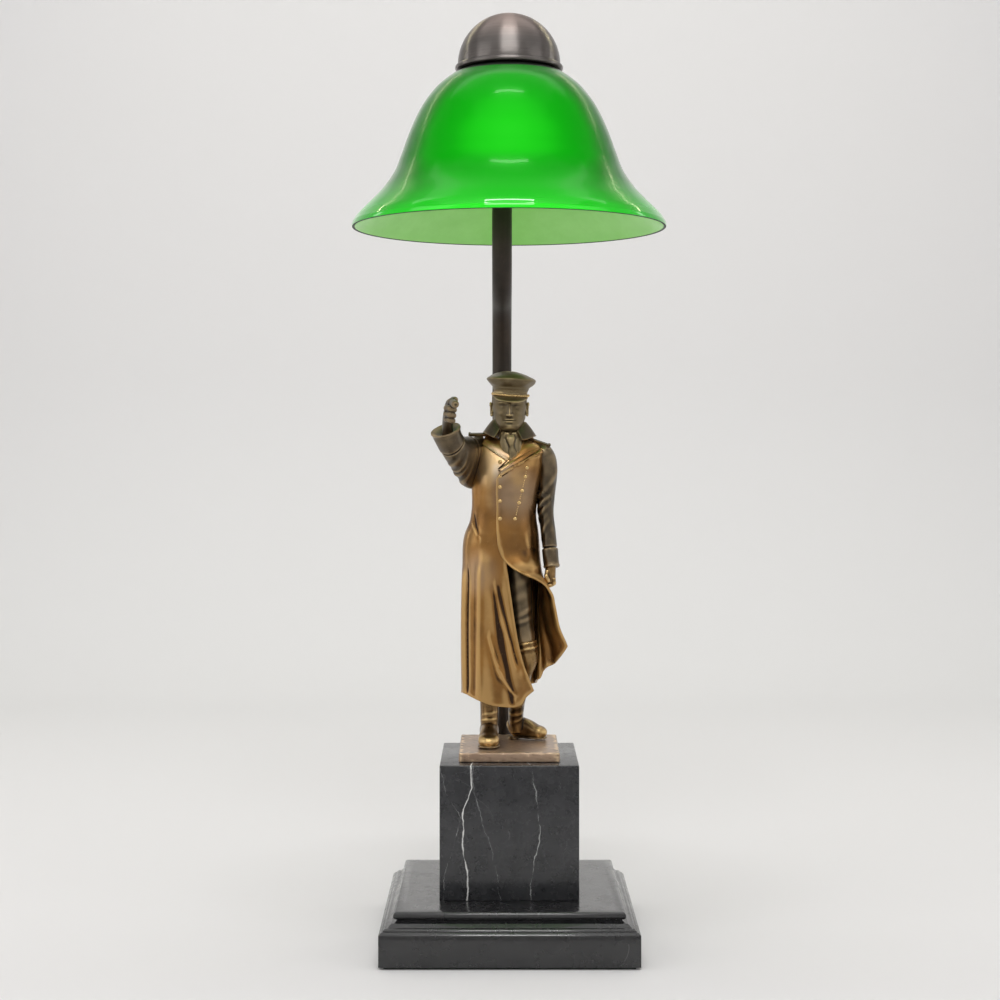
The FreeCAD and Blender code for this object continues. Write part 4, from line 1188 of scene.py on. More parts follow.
# %% The greatcoat's outlines
COAT_TOP = 322.5
COAT_LEFT = ((150, -31.0), (160, -31.2), (190, -31.6), (215, -31.4), (240, -30.6), (262, -28.8), (270, -25.6),
             (276, -24.6), (295, -24.3), (306, -23.6), (314, -21.5), (319, -17.0), (323, -10.0))
COAT_RIGHT = ((150, 18.0), (165, 19.0), (190, 20.0), (215, 20.4), (240, 20.6), (262, 19.4), (274, 17.8),
              (287, 19.0), (300, 21.4), (309, 23.0), (315, 23.0), (319.5, 20.0), (323, 12.0))
COAT_FRONT = ((150, -19.5), (180, -18.8), (210, -17.8), (240, -16.4), (262, -14.4), (274, -13.2), (287, -14.4),
              (300, -15.0), (310, -12.8), (318, -9.0), (323, -5.5))
COAT_BACK = ((150, 26.5), (180, 25.4), (210, 23.4), (240, 20.8), (262, 18.4), (274, 16.6), (300, 18.0),
             (312, 16.5), (319, 14.0), (323, 12.0))
UNDER_EDGE = ((150, 18.0), (162, 15.2), (175, 10.6), (193, 5.9), (205, 3.8), (222, 1.3), (234, -0.4), (243, -1.5),
              (262, 2.0), (298, 4.0), (305, 10.0), (310, 17.0), (314, 22.0), (323, 22.0))
TOP_EDGE = ((231.3, 21.3), (234.9, 14.8), (238.2, 5.8), (244.2, -2.4), (251.5, -6.4), (262, -8.0), (280, -8.1),
            (294, -8.3), (299, -7.6), (302, -5.0), (306, 3.0), (311, 12.0), (315, 20.0), (323, 21.0))
LIP = ((160, 33.0, -3.0), (176, 36.0, -7.0), (189.4, 38.2, -10.0), (201.4, 33.4, -13.0), (215, 30.2, -15.5),
       (224.8, 27.0, -17.5), (231.3, 21.6, -18.6), (234.9, 14.8, -19.0), (238.2, 5.8, -18.6), (244.2, -2.4, -17.6),
       (251.5, -6.4, -16.6))
CURL = ((160, 27.0, 6.0), (189.4, 26.0, 3.0), (215, 24.5, -2.0), (231.3, 26.5, -10.0), (240, 24.0, -20.5),
        (251.5, 22.0, -22.0))
SHEET_WALL = 1.5
COAT_SQUARENESS = 2.35


def section_point(angle, height):
    """A point of the coat's level outline; 0 is the front, and the angle grows to the left."""
    left, right = between(COAT_LEFT, height), between(COAT_RIGHT, height)
    front, back = between(COAT_FRONT, height), between(COAT_BACK, height)
    power = 2 / COAT_SQUARENESS
    x = (left + right) / 2 - (right - left) / 2 * squared(np.sin(angle), power)
    y = (front + back) / 2 - (back - front) / 2 * squared(np.cos(angle), power)
    return x, y


def front_angle(x, height):
    """The angle at which the coat's front passes this sideways place."""
    left, right = between(COAT_LEFT, height), between(COAT_RIGHT, height)
    share = np.clip(((left + right) / 2 - x) / ((right - left) / 2), -1, 1)
    return np.arcsin(squared(share, COAT_SQUARENESS / 2))


# %% The greatcoat's sheet
BODY_COLUMNS = 170
TAIL_COLUMNS = 60
COAT_ROWS = 210
HEM_BODY = ((0.0, 160.5), (0.07, 157.0), (0.13, 152.0), (0.22, 151.4), (0.30, 156.0), (0.38, 158.6), (0.5, 157.0),
            (0.62, 159.0), (0.75, 158.0), (0.88, 161.0), (1.0, 166.0))
HEM_TAIL = ((0.0, 166.0), (0.2, 171.0), (0.45, 175.0), (0.7, 177.5), (0.88, 183.0), (1.0, 189.4))


def coat_grid():
    """The coat's points, row by row from the collar down, and each one's angle."""
    down = np.linspace(0, 1, COAT_ROWS)[:, None]
    body_share = np.linspace(0, 1, BODY_COLUMNS)[None, :]
    tail_share = np.linspace(0, 1, TAIL_COLUMNS + 1)[None, 1:]
    body_height = COAT_TOP + (between(HEM_BODY, body_share) - COAT_TOP) * down
    tail_height = COAT_TOP + (between(HEM_TAIL, tail_share) - COAT_TOP) * down
    start = front_angle(between(UNDER_EDGE, body_height), body_height)
    side = 1.5 * math.pi
    angle = start + (side - start) * body_share
    body_x, body_y = section_point(angle, body_height)
    body = np.stack([body_x, body_y, body_height], axis=2)
    # the tail on the body, as the closed coat's top layer
    stop = 2 * math.pi + front_angle(between(TOP_EDGE, tail_height), tail_height)
    tail_angle = side + (stop - side) * tail_share
    closed_x, closed_y = section_point(tail_angle, tail_height)
    over = ease(0.35, 0.8, tail_share)
    closed = np.stack([closed_x, closed_y - 1.1 * over, tail_height], axis=2)
    # the tail blown away from the body
    hip_x, hip_y = section_point(np.full_like(tail_height, side), tail_height)
    near, middle, far = (1 - tail_share) ** 2, 2 * tail_share * (1 - tail_share), tail_share ** 2
    blown_x, blown_y = (
        near * hip + middle * between(CURL, tail_height, column) + far * between(LIP, tail_height, column)
        for hip, column in ((hip_x, 1), (hip_y, 2)))
    blown = np.stack([blown_x, blown_y, tail_height], axis=2)
    loose = (1 - ease(240.0, 252.0, tail_height))[..., None]
    tail = closed * (1 - loose) + blown * loose
    points = np.concatenate([body, tail], axis=1)
    around = np.concatenate([angle, tail_angle], axis=1)
    return points, around


# %% [markdown]
# The folds are drawn as lines of a few points, as seen from the front. Wide soft ones are
# ridges and valleys of the hanging cloth. Narrow sharp ones are where cloth doubles over.

# %% Folds of the greatcoat
FRONT_FOLDS = (
    (((-15.5, 250), (-14.6, 207), (-15.2, 152)), 6.0, 1.0, False),
    (((-9.0, 226), (-5.6, 196), (-0.6, 172), (2.4, 152)), 2.6, -1.0, False),
    (((-12.8, 196), (-9.2, 182), (-5.2, 171), (0.0, 163), (3.8, 158)), 1.3, 1.7, True),
    (((-9.4, 230), (-6.0, 212), (-2.6, 199), (0.6, 189)), 1.4, 0.9, True),
    (((-6.8, 226), (-2.6, 208), (1.6, 192), (6.0, 176)), 1.9, -0.8, False),
    (((-1.0, 236), (1.6, 214), (5.2, 192), (10.4, 172)), 2.2, -0.7, False),
    (((-22.4, 252), (-22.8, 205), (-23.2, 158)), 3.6, -0.6, False),
    (((-27.0, 238), (-27.6, 205), (-27.4, 160)), 1.2, -1.8, True),
    (((-29.4, 236), (-30.2, 205), (-29.4, 160)), 1.6, 1.2, False),
    (((-19.4, 240), (-19.8, 200), (-20.0, 156)), 1.8, 0.7, False),
    (((-22.6, 274), (-21.6, 268), (-19.8, 261)), 1.1, -0.9, True),
    (((-24.6, 270), (-22.0, 264), (-18.6, 259)), 1.0, 0.5, True),
    (((14.6, 276), (16.0, 262), (17.0, 250)), 1.6, -0.5, False),
    (((11.0, 262), (13.5, 248), (16.0, 240)), 2.2, 0.5, False),
    (((-20.8, 306), (-20.8, 292), (-21.0, 280)), 2.2, -0.6, False),
    (((-14.0, 306), (-13.0, 292), (-12.4, 276)), 4.5, 0.7, False),
    (((6.0, 300), (8.0, 286), (6.0, 270)), 6.0, 0.5, False),
)
BACK_FOLDS = 9


def coat_relief(points, around):
    """Press the folds into the coat's grid and raise its rims."""
    normal = grid_normals(points, False)
    outward = points - points.mean(axis=(0, 1))
    normal = normal * np.sign((normal[..., :2] * outward[..., :2]).sum(axis=2).mean())
    facing = ease(0.0, 0.5, -normal[..., 1])
    height = np.zeros(points.shape[:2])
    for line, width, rise, sharp in FRONT_FOLDS:
        height += drawn_fold(points, facing, line, width, rise, sharp)
    # long folds all round the back, deepening towards the hem
    z = points[..., 2]
    behind = ease(0.15, 0.6, normal[..., 1])
    wave = np.sin(around * BACK_FOLDS + 0.6 * np.sin(z / 23.0)) + 0.4 * np.sin(around * 17 + 1.1 + z / 60.0)
    height += behind * 1.9 * ease(268.0, 175.0, z) * wave
    # a half belt's pinch, and the hollow between the shoulder blades
    height += behind * 0.18 * ridge(z, 271, 3.5) * np.sign(np.cos(around * 3))
    spine = ridge(points[..., 0], -2.5, 2.6) * ease(255.0, 290.0, z) * (1 - ease(305.0, 315.0, z))
    height -= behind * 1.1 * spine
    # a rounded rim along both front edges and the hem
    columns = np.arange(points.shape[1])[None, :]
    rows = np.arange(points.shape[0])[:, None]
    height += 0.45 * ridge(columns, points.shape[1] - 1, 2.6) + 0.35 * ridge(columns, 0, 3)
    height += 0.30 * ridge(rows, points.shape[0] - 1, 2.5)
    # the wind's ripples on the blown panel
    tail = np.clip((columns - BODY_COLUMNS) / TAIL_COLUMNS, 0, 1)
    ripple = np.sin(tail * 11.0 + z / 9.0) * np.sin(math.pi * tail)
    height += 0.55 * ripple * (1 - ease(228.0, 240.0, z))
    points = points + normal * height[..., None]
    points[..., 2] += 4.6 * ease(-3.0, -20.0, points[..., 0]) * ease(300.0, 321.0, z)
    return points


coat = grid_object("greatcoat", coat_relief(*coat_grid()))
apply_modifier(coat, "SOLIDIFY", thickness=SHEET_WALL * MM, offset=-1)
coat_tree = BVHTree.FromObject(coat, bpy.context.evaluated_depsgraph_get())
SIGHT_START = -0.2


def coat_front(x, z):
    """Depth in millimetres at which a line of sight from the front meets the coat."""
    hit = coat_tree.ray_cast(Vector((x * MM, SIGHT_START, z * MM)), Vector((0, 1, 0)))
    return None if hit[0] is None else hit[0].y / MM


def cast_piece(obj, name, material, nodes=()):
    """Measure a bronze piece's relief and hand it over to the lamp."""
    measure_relief(obj)
    finish_piece(obj, name, material, "lamp", list(nodes))


cast_piece(coat, "greatcoat", coat_bronze, ["coat", "coat_flap"])

# %% [markdown]
# Lapels, collar leaves and shoulder boards lie on the coat. Each is a patch between two drawn
# edges. Its points are dropped on to the coat by a line of sight from the front, lifted by the
# cloth's thickness, and given a wall, so it follows every bulge below it.

# %% Patches that lie on the coat
def run_places(line):
    """A line's points as a table, and how far along the line each one lies."""
    table = np.array(line, float)
    steps = np.linalg.norm(np.diff(table[:, :3], axis=0), axis=1)
    return table, np.concatenate([[0], np.cumsum(steps)])


def drawn(line, count):
    """Evenly spread (x, z) points along a drawn line."""
    table, places = run_places(line)
    where = np.linspace(0, places[-1], count)
    keys = np.column_stack([places, table])
    return np.stack([between(keys, where, column) for column in (1, 2)], axis=1)


def coat_patch(first_edge, second_edge, lift, rim, crown, columns=36, rows=70):
    """Grid of points between two drawn edges, lifted off the coat, with raised rims."""
    first, second = drawn(first_edge, rows), drawn(second_edge, rows)
    share = np.linspace(0, 1, columns)
    flat = first[:, None] * (1 - share)[None, :, None] + second[:, None] * share[None, :, None]
    points = np.zeros((rows, columns, 3))
    depth_before = None
    for row in range(rows):
        for column in range(columns):
            x, z = flat[row, column]
            depth = coat_front(x, z)
            depth_before = depth_before if depth is None else depth
            points[row, column] = (x, depth_before, z)
    edge = ridge(share, 0, 0.07) + ridge(share, 1, 0.07)
    points[..., 1] -= lift + rim * edge[None, :] + crown * np.sin(math.pi * share)[None, :]
    return points


def thicken(obj, wall, offset, edge, angle, **bevel):
    """Give a sheet its wall and softened edges."""
    apply_modifier(obj, "SOLIDIFY", thickness=wall * MM, offset=offset)
    apply_modifier(obj, "BEVEL", width=edge * MM, segments=2, limit_method="ANGLE", **bevel)
    smooth_shade(obj, angle)


# %% Lapels
LAPELS = (
    ("lapel_left", 2.2, ((-20.8, 322.0), (-13.0, 317.0), (-1.4, 309.4)),
     ((-13.6, 329.0), (-6.0, 322.0), (1.8, 314.6)), 1.0, 0.45, 0.5),
    ("lapel_right", 2.6, ((22.0, 315.0), (13.0, 311.8), (4.2, 307.6), (-5.8, 301.2)),
     ((12.0, 327.6), (7.0, 317.6), (0.0, 308.4), (-5.4, 302.4)), 1.3, 0.55, 0.5),
    ("lapel_fold", 1.6, ((22.6, 314.6), (13.0, 311.0), (4.2, 306.8), (-6.0, 300.6)),
     ((21.4, 317.6), (12.6, 314.4), (4.6, 310.0), (-5.2, 302.6)), 2.0, 0.35, 0, 14),
)
for name, wall, *patch in LAPELS:
    lapel = grid_object(name, coat_patch(*patch))
    facing = sum(face.normal.y * face.area for face in lapel.data.polygons)
    thicken(lapel, wall, -1 if facing < 0 else 1, 0.18, 45, angle_limit=math.radians(50))
    cast_piece(lapel, name, coat_bronze)

# %% [markdown]
# Sleeves, legs, neck and hands are tubes through stations. A station has a centre and two
# half widths, and the tube's rings turn with its run. Creases are pressed in by their place
# along the tube and round it, because that is how cloth gathers at an elbow or a knee.

# %% Limbs
def limb_grid(stations, rows, columns, across_hint=(1, 0, 0), squareness=2.15):
    """Rows x columns points round a bent limb, and each point's share along and angle round."""
    table, places = run_places(stations)
    share = np.linspace(0, 1, rows)
    keys = np.column_stack([places / places[-1], table])
    *centre, width, depth = (between(keys, share, column) for column in range(1, 6))
    centre = np.stack(centre, axis=1)
    run = np.gradient(centre, axis=0)
    run /= np.linalg.norm(run, axis=1, keepdims=True)
    deep = np.cross(run, np.array(across_hint, float))
    deep /= np.linalg.norm(deep, axis=1, keepdims=True)
    across = np.cross(deep, run)
    angle = np.linspace(0, 2 * math.pi, columns, endpoint=False)[None, :]
    side = squared(np.cos(angle), 2 / squareness) * width[:, None]
    back = squared(np.sin(angle), 2 / squareness) * depth[:, None]
    points = centre[:, None] + across[:, None] * side[..., None] + deep[:, None] * back[..., None]
    return points, share[:, None] + 0 * angle, angle + 0 * share[:, None]


def swell(points, height):
    """Move a closed tube's points out along their normals by a height in millimetres."""
    normal = grid_normals(points, True)
    outward = points - points.mean(axis=1, keepdims=True)
    return points + normal * np.sign((normal * outward).sum(axis=2).mean()) * height[..., None]


def crease(along, angle, at, centre, reach, slant, width, rise):
    """One fold round part of a limb: its place along, the angle of its middle, and its slant."""
    away = (angle - centre + math.pi) % (2 * math.pi) - math.pi
    line = (along - at - slant * away) / width
    return rise * (ridge(line, 0, 1) - 0.5 * ridge(line, 1.6, 1)) * ridge(away, 0, reach)


def limb(stations, rows, columns, creases=(), relief=None, sink=0, **options):
    """A closed tube through its stations, with its creases and relief."""
    points, along, angle = limb_grid(stations, rows, columns, **options)
    height = sum((crease(along, angle, *fold) for fold in creases), np.zeros(along.shape))
    if relief is not None:
        height = height + relief(along, angle)
    return grid_object("limb", swell(points, height), around=True, ends=True, sink=sink)


# %% Sleeve and cuff of the hanging arm
def hanging_relief(along, angle):
    """A cuff behind its seam, a rim at its end, and the cloth's light unevenness."""
    cuff = ease(0.852, 0.856, along) * 0.55 - 0.8 * ridge(along, 0.846, 0.005)
    rim = 0.35 * ridge(along, 0.99, 0.008)
    return cuff + rim + 0.12 * np.sin(angle * 5 + along * 9) * np.sin(along * 24)


HANGING_STATIONS = (
    (17.0, 4.0, 319.0, 2.0, 4.0),
    (20.6, 4.0, 316.2, 5.4, 8.2),
    (23.6, 3.6, 311.0, 6.8, 9.2),
    (25.0, 3.0, 303.0, 6.6, 9.2),
    (24.6, 2.4, 292.0, 6.0, 8.6),
    (23.8, 1.6, 282.0, 5.6, 8.0),
    (24.2, 0.2, 273.0, 5.0, 7.4),
    (25.6, -2.0, 262.0, 4.9, 6.8),
    (26.6, -4.4, 250.0, 4.7, 6.3),
    (27.7, -6.2, 240.0, 4.4, 6.0),
)
ELBOW = (
    (0.44, 2.6, 0.9, 0.05, 0.026, 0.5), (0.51, 2.4, 0.9, 0.06, 0.023, 0.75), (0.58, 2.5, 0.9, 0.05, 0.024, 0.55),
    (0.30, 1.0, 0.9, 0.10, 0.036, 0.4), (0.70, 2.2, 0.9, 0.07, 0.028, 0.4), (0.22, 2.8, 0.8, 0.10, 0.036, 0.45),
)
hanging_sleeve = limb(HANGING_STATIONS, 220, 110, ELBOW, hanging_relief, 3)
cast_piece(hanging_sleeve, "sleeve_hanging_cloth", sleeve_bronze, ["sleeve_hanging"])


# %% Sleeve and turned-back cuff of the pointing arm
def pointing_relief(along, angle):
    """A turned-back cuff behind its seam, and a rim at its end."""
    cuff = ease(0.80, 0.81, along) * 0.5 - 0.7 * ridge(along, 0.792, 0.007)
    return cuff + 0.4 * ridge(along, 0.985, 0.012)


POINTING_STATIONS = (
    (-14.0, 8.0, 309.4, 12.4, 4.0),
    (-21.0, 2.0, 308.4, 17.8, 6.0),
    (-26.3, -8.0, 310.0, 15.0, 6.9),
    (-29.6, -18.0, 313.0, 12.4, 7.8),
    (-33.6, -27.0, 316.4, 9.8, 7.8),
    (-37.2, -33.6, 321.4, 8.2, 8.0),
    (-39.2, -37.0, 325.6, 8.2, 8.4),
    (-40.4, -38.6, 329.4, 8.8, 9.0),
)
POINTING_FOLDS = (
    (0.36, 3.4, 0.9, 0.08, 0.036, 0.8), (0.47, 3.1, 0.9, 0.07, 0.030, 0.8), (0.57, 3.5, 0.9, 0.06, 0.028, 0.8),
    (0.27, 2.8, 0.8, 0.09, 0.036, 0.6), (0.50, 0.4, 0.9, 0.08, 0.034, 0.6), (0.66, 3.2, 0.8, 0.06, 0.026, 0.5),
    (0.40, 5.2, 0.8, 0.08, 0.034, 0.5),
)
pointing_sleeve = limb(POINTING_STATIONS, 180, 130, POINTING_FOLDS, pointing_relief, 5,
                       across_hint=(0.25, 0, 1))
cast_piece(pointing_sleeve, "sleeve_pointing_cloth", sleeve_bronze, ["sleeve_pointing"])

# %% [markdown]
# A hand is several tubes, one for the palm and one for each finger. They are joined and
# remeshed into one skin, then smoothed a little, so the fingers stay apart. The knuckles are
# waves along each finger's tube, and the lines between fingers are where two tubes meet.

# %% Hands
def finger(radius, path, tip=0.85):
    """A finger as a bent tube with knuckles and a rounded tip."""
    last = len(path) - 1
    sizes = [radius * (1 - (1 - tip) * index / last) for index in range(last + 1)]
    stations = [(*place, size, size) for place, size in zip(path, sizes)]
    end = np.array(path[-1], float)
    way = end - np.array(path[-2], float)
    way /= np.linalg.norm(way)
    stations.append((*(end + way * radius * 0.45), radius * tip * 0.55, radius * tip * 0.55))

    def knuckles(along, angle):
        return radius * 0.09 * np.cos(along * last * 2 * math.pi)
    hint = (0.3, 0.2, 1.0) if abs(way[2]) < 0.8 else (1.0, 0.2, 0.1)
    return limb(stations, 40, 20, relief=knuckles, across_hint=hint, squareness=2)


def skin(objs, name, voxel, material, nodes=(), smooth=3, floor=None):
    """Join tubes, remesh them into one smooth closed skin, and flatten it at a floor."""
    body = join(objs, name)
    apply_modifier(body, "REMESH", mode="VOXEL", voxel_size=voxel * MM, use_smooth_shade=True)
    apply_modifier(body, "SMOOTH", factor=0.5, iterations=smooth)
    if floor is not None:
        for vertex in body.data.vertices:
            vertex.co.z = max(vertex.co.z, floor * MM)
    choose(body)
    bpy.ops.object.shade_smooth()
    cast_piece(body, name, material, nodes)


pointing_palm = limb(((-39.2, -38.5, 325.0, 3.6, 4.6), (-38.9, -41.5, 330.5, 3.5, 4.6),
                      (-38.4, -46.0, 336.0, 3.5, 5.6), (-37.6, -52.0, 340.0, 3.3, 6.2),
                      (-37.2, -57.5, 341.6, 2.8, 5.8), (-37.0, -59.6, 341.8, 1.8, 4.6)), 50, 40, squareness=2.3)
pointing_fingers = [
    finger(2.4, ((-37.2, -55.0, 345.4), (-36.0, -61.0, 346.0), (-34.2, -67.0, 345.0), (-33.2, -71.6, 344.2)), 0.88),
    finger(2.15, ((-37.6, -56.0, 341.8), (-38.4, -62.0, 342.2), (-35.8, -65.0, 341.8), (-34.0, -62.6, 341.0))),
    finger(2.1, ((-38.0, -55.5, 338.6), (-38.8, -61.0, 338.6), (-36.2, -64.0, 338.2), (-34.4, -61.6, 337.4))),
    finger(1.9, ((-38.2, -54.5, 335.8), (-38.8, -59.0, 335.4), (-36.4, -62.0, 335.0), (-34.8, -59.8, 334.2))),
    finger(1.9, ((-36.6, -47.0, 341.0), (-36.0, -52.0, 345.8), (-35.0, -57.0, 347.6), (-33.4, -61.4, 347.2))),
]
skin([pointing_palm, *pointing_fingers], "pointing_hand", 0.32, sleeve_bronze, ["hand_pointing"])

fist = [limb(((27.2, -6.0, 242.5, 3.2, 3.9), (26.8, -6.4, 238.0, 3.5, 4.4), (26.5, -6.8, 234.0, 3.6, 4.8),
              (26.3, -7.0, 230.6, 3.2, 4.4), (26.2, -7.0, 229.0, 1.6, 3.0)), 40, 40, squareness=2.3)]
for index in range(4):
    back = -10.4 + 2.35 * index
    low = 229.6 + 0.35 * index
    fist.append(finger(1.38, ((28.8, back, 233.6), (28.6, back, low), (26.0, back - 0.1, low - 0.9),
                              (23.8, back, low + 1.0), (24.2, back, 233.0))))
fist.append(finger(1.5, ((24.8, -9.6, 238.0), (24.0, -11.6, 234.6), (25.4, -12.0, 231.4))))
skin(fist, "hanging_fist", 0.3, boot_bronze, ["hand_hanging"], 2)

# %% [markdown]
# The head is a calm, general one on a sculptor's proportions: the eyes lie halfway down the
# head, and brow, nose and chin are a third of the face apart. A tube of level rings gives the
# skull and neck. Each feature is then a soft bump or dent at its place on the front.

# %% Head and neck
CHIN, FACE_THIRD, FACE_MIDDLE = 329.6, 8.4, 0.2
HEAD_KEYS = (
    (313.0, -7.4, 7.8, -4.5, 9.0), (322.0, -6.8, 7.2, -5.4, 8.6), (326.6, -6.9, 7.3, -6.0, 8.8),
    (328.4, -7.0, 7.4, -8.4, 9.2), (329.6, -7.3, 7.7, -11.2, 9.8), (331.4, -8.2, 8.6, -12.5, 10.6),
    (335.0, -9.5, 9.9, -12.9, 12.0), (340.0, -10.3, 10.7, -12.8, 13.0), (346.0, -10.7, 11.1, -12.6, 13.2),
    (354.0, -10.6, 11.2, -12.2, 12.6),
)


def dent(x, z, at_x, at_z, wide, tall, rise):
    """A soft round bump, or a dent for a negative rise."""
    return rise * np.exp(-((x - at_x) / wide) ** 2 - ((z - at_z) / tall) ** 2)


SIDE_FEATURES = (
    (4.5, "eye", 0.1, 2.6, 1.7, -1.7), (4.5, "eye", -0.2, 1.75, 0.95, 1.25), (4.5, "eye", 0.85, 2.2, 0.32, 0.45),
    (4.6, "eye", -1.25, 2.0, 0.35, 0.22), (4.3, "brow", 0.2, 3.0, 0.75, 0.8), (6.2, "base", 2.0, 2.4, 2.2, 0.9),
    (1.75, "base", 0.75, 0.8, 0.75, 0.95), (3.6, "mouth", 0.2, 0.9, 1.2, -0.3),
    (7.2, "base", -1.4, 1.8, 2.8, -0.6), (6.0, "chin", 2.2, 2.0, 1.6, 0.5),
)


def face_relief(x, z):
    """Bumps and dents of both sides of the face, then the nose and the lips."""
    brow, base = CHIN + 2 * FACE_THIRD, CHIN + FACE_THIRD
    eye, mouth = brow - 1.7, CHIN + 0.66 * FACE_THIRD
    level = {"eye": eye, "brow": brow, "base": base, "mouth": mouth, "chin": CHIN}
    x = x - FACE_MIDDLE
    rise = dent(x, z, 0, CHIN + 1.4, 3.0, 1.6, 1.0)
    for side in (-1, 1):
        for aside, label, up, wide, tall, amount in SIDE_FEATURES:
            rise += dent(x, z, side * aside, level[label] + up, wide, tall, amount)
    share = np.clip((brow - 0.6 - z) / (brow - 0.6 - base), 0, 1)
    bridge = (0.9 + 2.3 * share ** 1.3) * np.exp(-(x / (0.95 + 0.55 * share)) ** 2)
    rise += bridge * ease(base - 1.5, base + 0.7, z) * (1 - ease(brow - 1.2, brow + 0.8, z))
    rise += dent(x, z, 0, mouth + 0.75, 2.5, 0.5, 0.7) + dent(x, z, 0, mouth - 0.8, 2.1, 0.55, 0.75)
    rise += dent(x, z, 0, mouth, 2.9, 0.26, -0.6) + dent(x, z, 0, mouth - 2.1, 2.2, 0.6, -0.45)
    return rise


def head_grid(rows=170, columns=260):
    """Level rings of the head, closer together at the face, with strands of hair behind."""
    z = np.linspace(HEAD_KEYS[0][0], HEAD_KEYS[-1][0], rows)[:, None]
    turn = np.linspace(-math.pi, math.pi, columns, endpoint=False)[None, :]
    turn = turn - 0.5 * np.sin(turn)
    left, right, front, back = (between(HEAD_KEYS, z, column) for column in range(1, 5))
    power = 2 / between(((313, 2.0), (329, 1.85), (336, 2.0), (342, 2.1), (354, 2.1)), z)
    cosine = np.cos(turn)
    x = (left + right) / 2 + (right - left) / 2 * squared(np.sin(turn), power)
    y = (front + back) / 2 - (back - front) / 2 * squared(cosine, power)
    y = y - face_relief(x, z) * ease(0.25, 0.75, cosine)
    points = np.stack([x, y, z + 0 * turn], axis=2)
    strand = np.sin(turn * 95 + 2.2 * np.sin(z * 0.9)) * 0.10 + 0.38
    hair = ease(-0.02, -0.14, cosine) * ease(333.0, 337.5, z) + ease(0.16, 0.06, cosine) * ease(341.0, 342.5, z)
    return swell(points, strand * np.clip(hair, 0, 1))


cast_piece(grid_object("head_skin", head_grid(), around=True, ends=True), "face_and_neck", head_bronze, ["head"])
ears = []
for side in (-1, 1):
    rim_path = ((-1.9, 339.4), (-0.4, 338.7), (1.2, 341.0), (2.3, 344.0), (1.6, 346.2), (-0.2, 346.6), (-1.6, 345.0))
    stations = [(FACE_MIDDLE + side * (11.2 + 0.45 * index ** 0.5), y + 0.6, z, 0.8, 0.8)
                for index, (y, z) in enumerate(rim_path)]
    ears.append(limb(stations, 50, 16))
    ears.append(limb(((FACE_MIDDLE + side * 10.2, 0.6, 342.6, 1.2, 3.2),
                      (FACE_MIDDLE + side * 11.2, 0.8, 342.8, 1.5, 3.3)), 10, 24, across_hint=(0, 1, 0)))
skin(ears, "ears", 0.3, head_bronze, (), 2)

# %% [markdown]
# The cap is turned like the lamp's round parts, but oval: a band with a woven pattern, a
# flared crown with piping at its rim, and a shallow top. It sits tilted a little to one side.
# The peak is a thin curved tongue, and a twisted cord runs over it from side to side.

# %% Service cap
CAP_MIDDLE = Vector((0.9, -0.4, 352.0))
CAP_TILT = math.radians(3.2)
CAP_KEYS = (
    (349.6, 10.6, 12.4), (350.0, 11.3, 13.0), (350.9, 11.5, 13.2), (351.5, 11.2, 12.9), (355.2, 11.3, 13.0),
    (355.8, 11.7, 13.4), (356.5, 11.8, 13.5), (357.1, 12.2, 13.9), (358.4, 13.6, 15.2), (360.0, 15.2, 16.6),
    (360.9, 15.8, 17.2), (361.6, 16.1, 17.5), (362.3, 15.9, 17.3), (363.0, 15.0, 16.5), (364.6, 12.2, 13.6),
    (366.0, 8.6, 9.8), (366.8, 5.0, 6.0), (367.1, 2.0, 2.4),
)


def cap_place(angle, height, grow=0.0):
    """A point of the cap's outline, before its tilt; angle 0 is the front."""
    wide, deep = (between(CAP_KEYS, height, column) + grow for column in (1, 2))
    return np.stack([CAP_MIDDLE.x + wide * np.sin(angle), CAP_MIDDLE.y - deep * np.cos(angle),
                     height + 0 * angle], axis=-1)


def tilt(points):
    """Tip points in millimetres over to the cap's side."""
    x, z = points[..., 0] - CAP_MIDDLE.x, points[..., 2] - CAP_MIDDLE.z
    points = points.copy()
    points[..., 0] = CAP_MIDDLE.x + x * math.cos(CAP_TILT) + z * math.sin(CAP_TILT)
    points[..., 2] = CAP_MIDDLE.z - x * math.sin(CAP_TILT) + z * math.cos(CAP_TILT)
    return points


cap_rows = np.concatenate([np.linspace(349.6, 357.0, 70), np.linspace(357.1, 363.0, 50),
                           np.linspace(363.2, 367.1, 36)])[:, None]
cap_turn = np.linspace(0, 2 * math.pi, 300, endpoint=False)[None, :]
cap_points = cap_place(cap_turn + 0 * cap_rows, cap_rows + 0 * cap_turn)
band = ease(351.4, 351.9, cap_rows) * (1 - ease(354.9, 355.3, cap_rows))
weave = 0.16 * band * np.sign(np.sin(cap_turn * 75)) * np.cos((cap_rows - 351.6) * 2.6)
sag = 0.35 * np.sin(cap_turn * 3 + 0.6) * ease(363.0, 365.0, cap_rows) - 0.25 * np.sin(cap_turn * 7) * (
    ease(357.2, 359.0, cap_rows) * (1 - ease(360.2, 361.2, cap_rows)))
cap_points = swell(cap_points, weave + sag)
cast_piece(grid_object("cap", tilt(cap_points), around=True, ends=True), "service_cap_cloth", head_bronze,
           ["service_cap"])

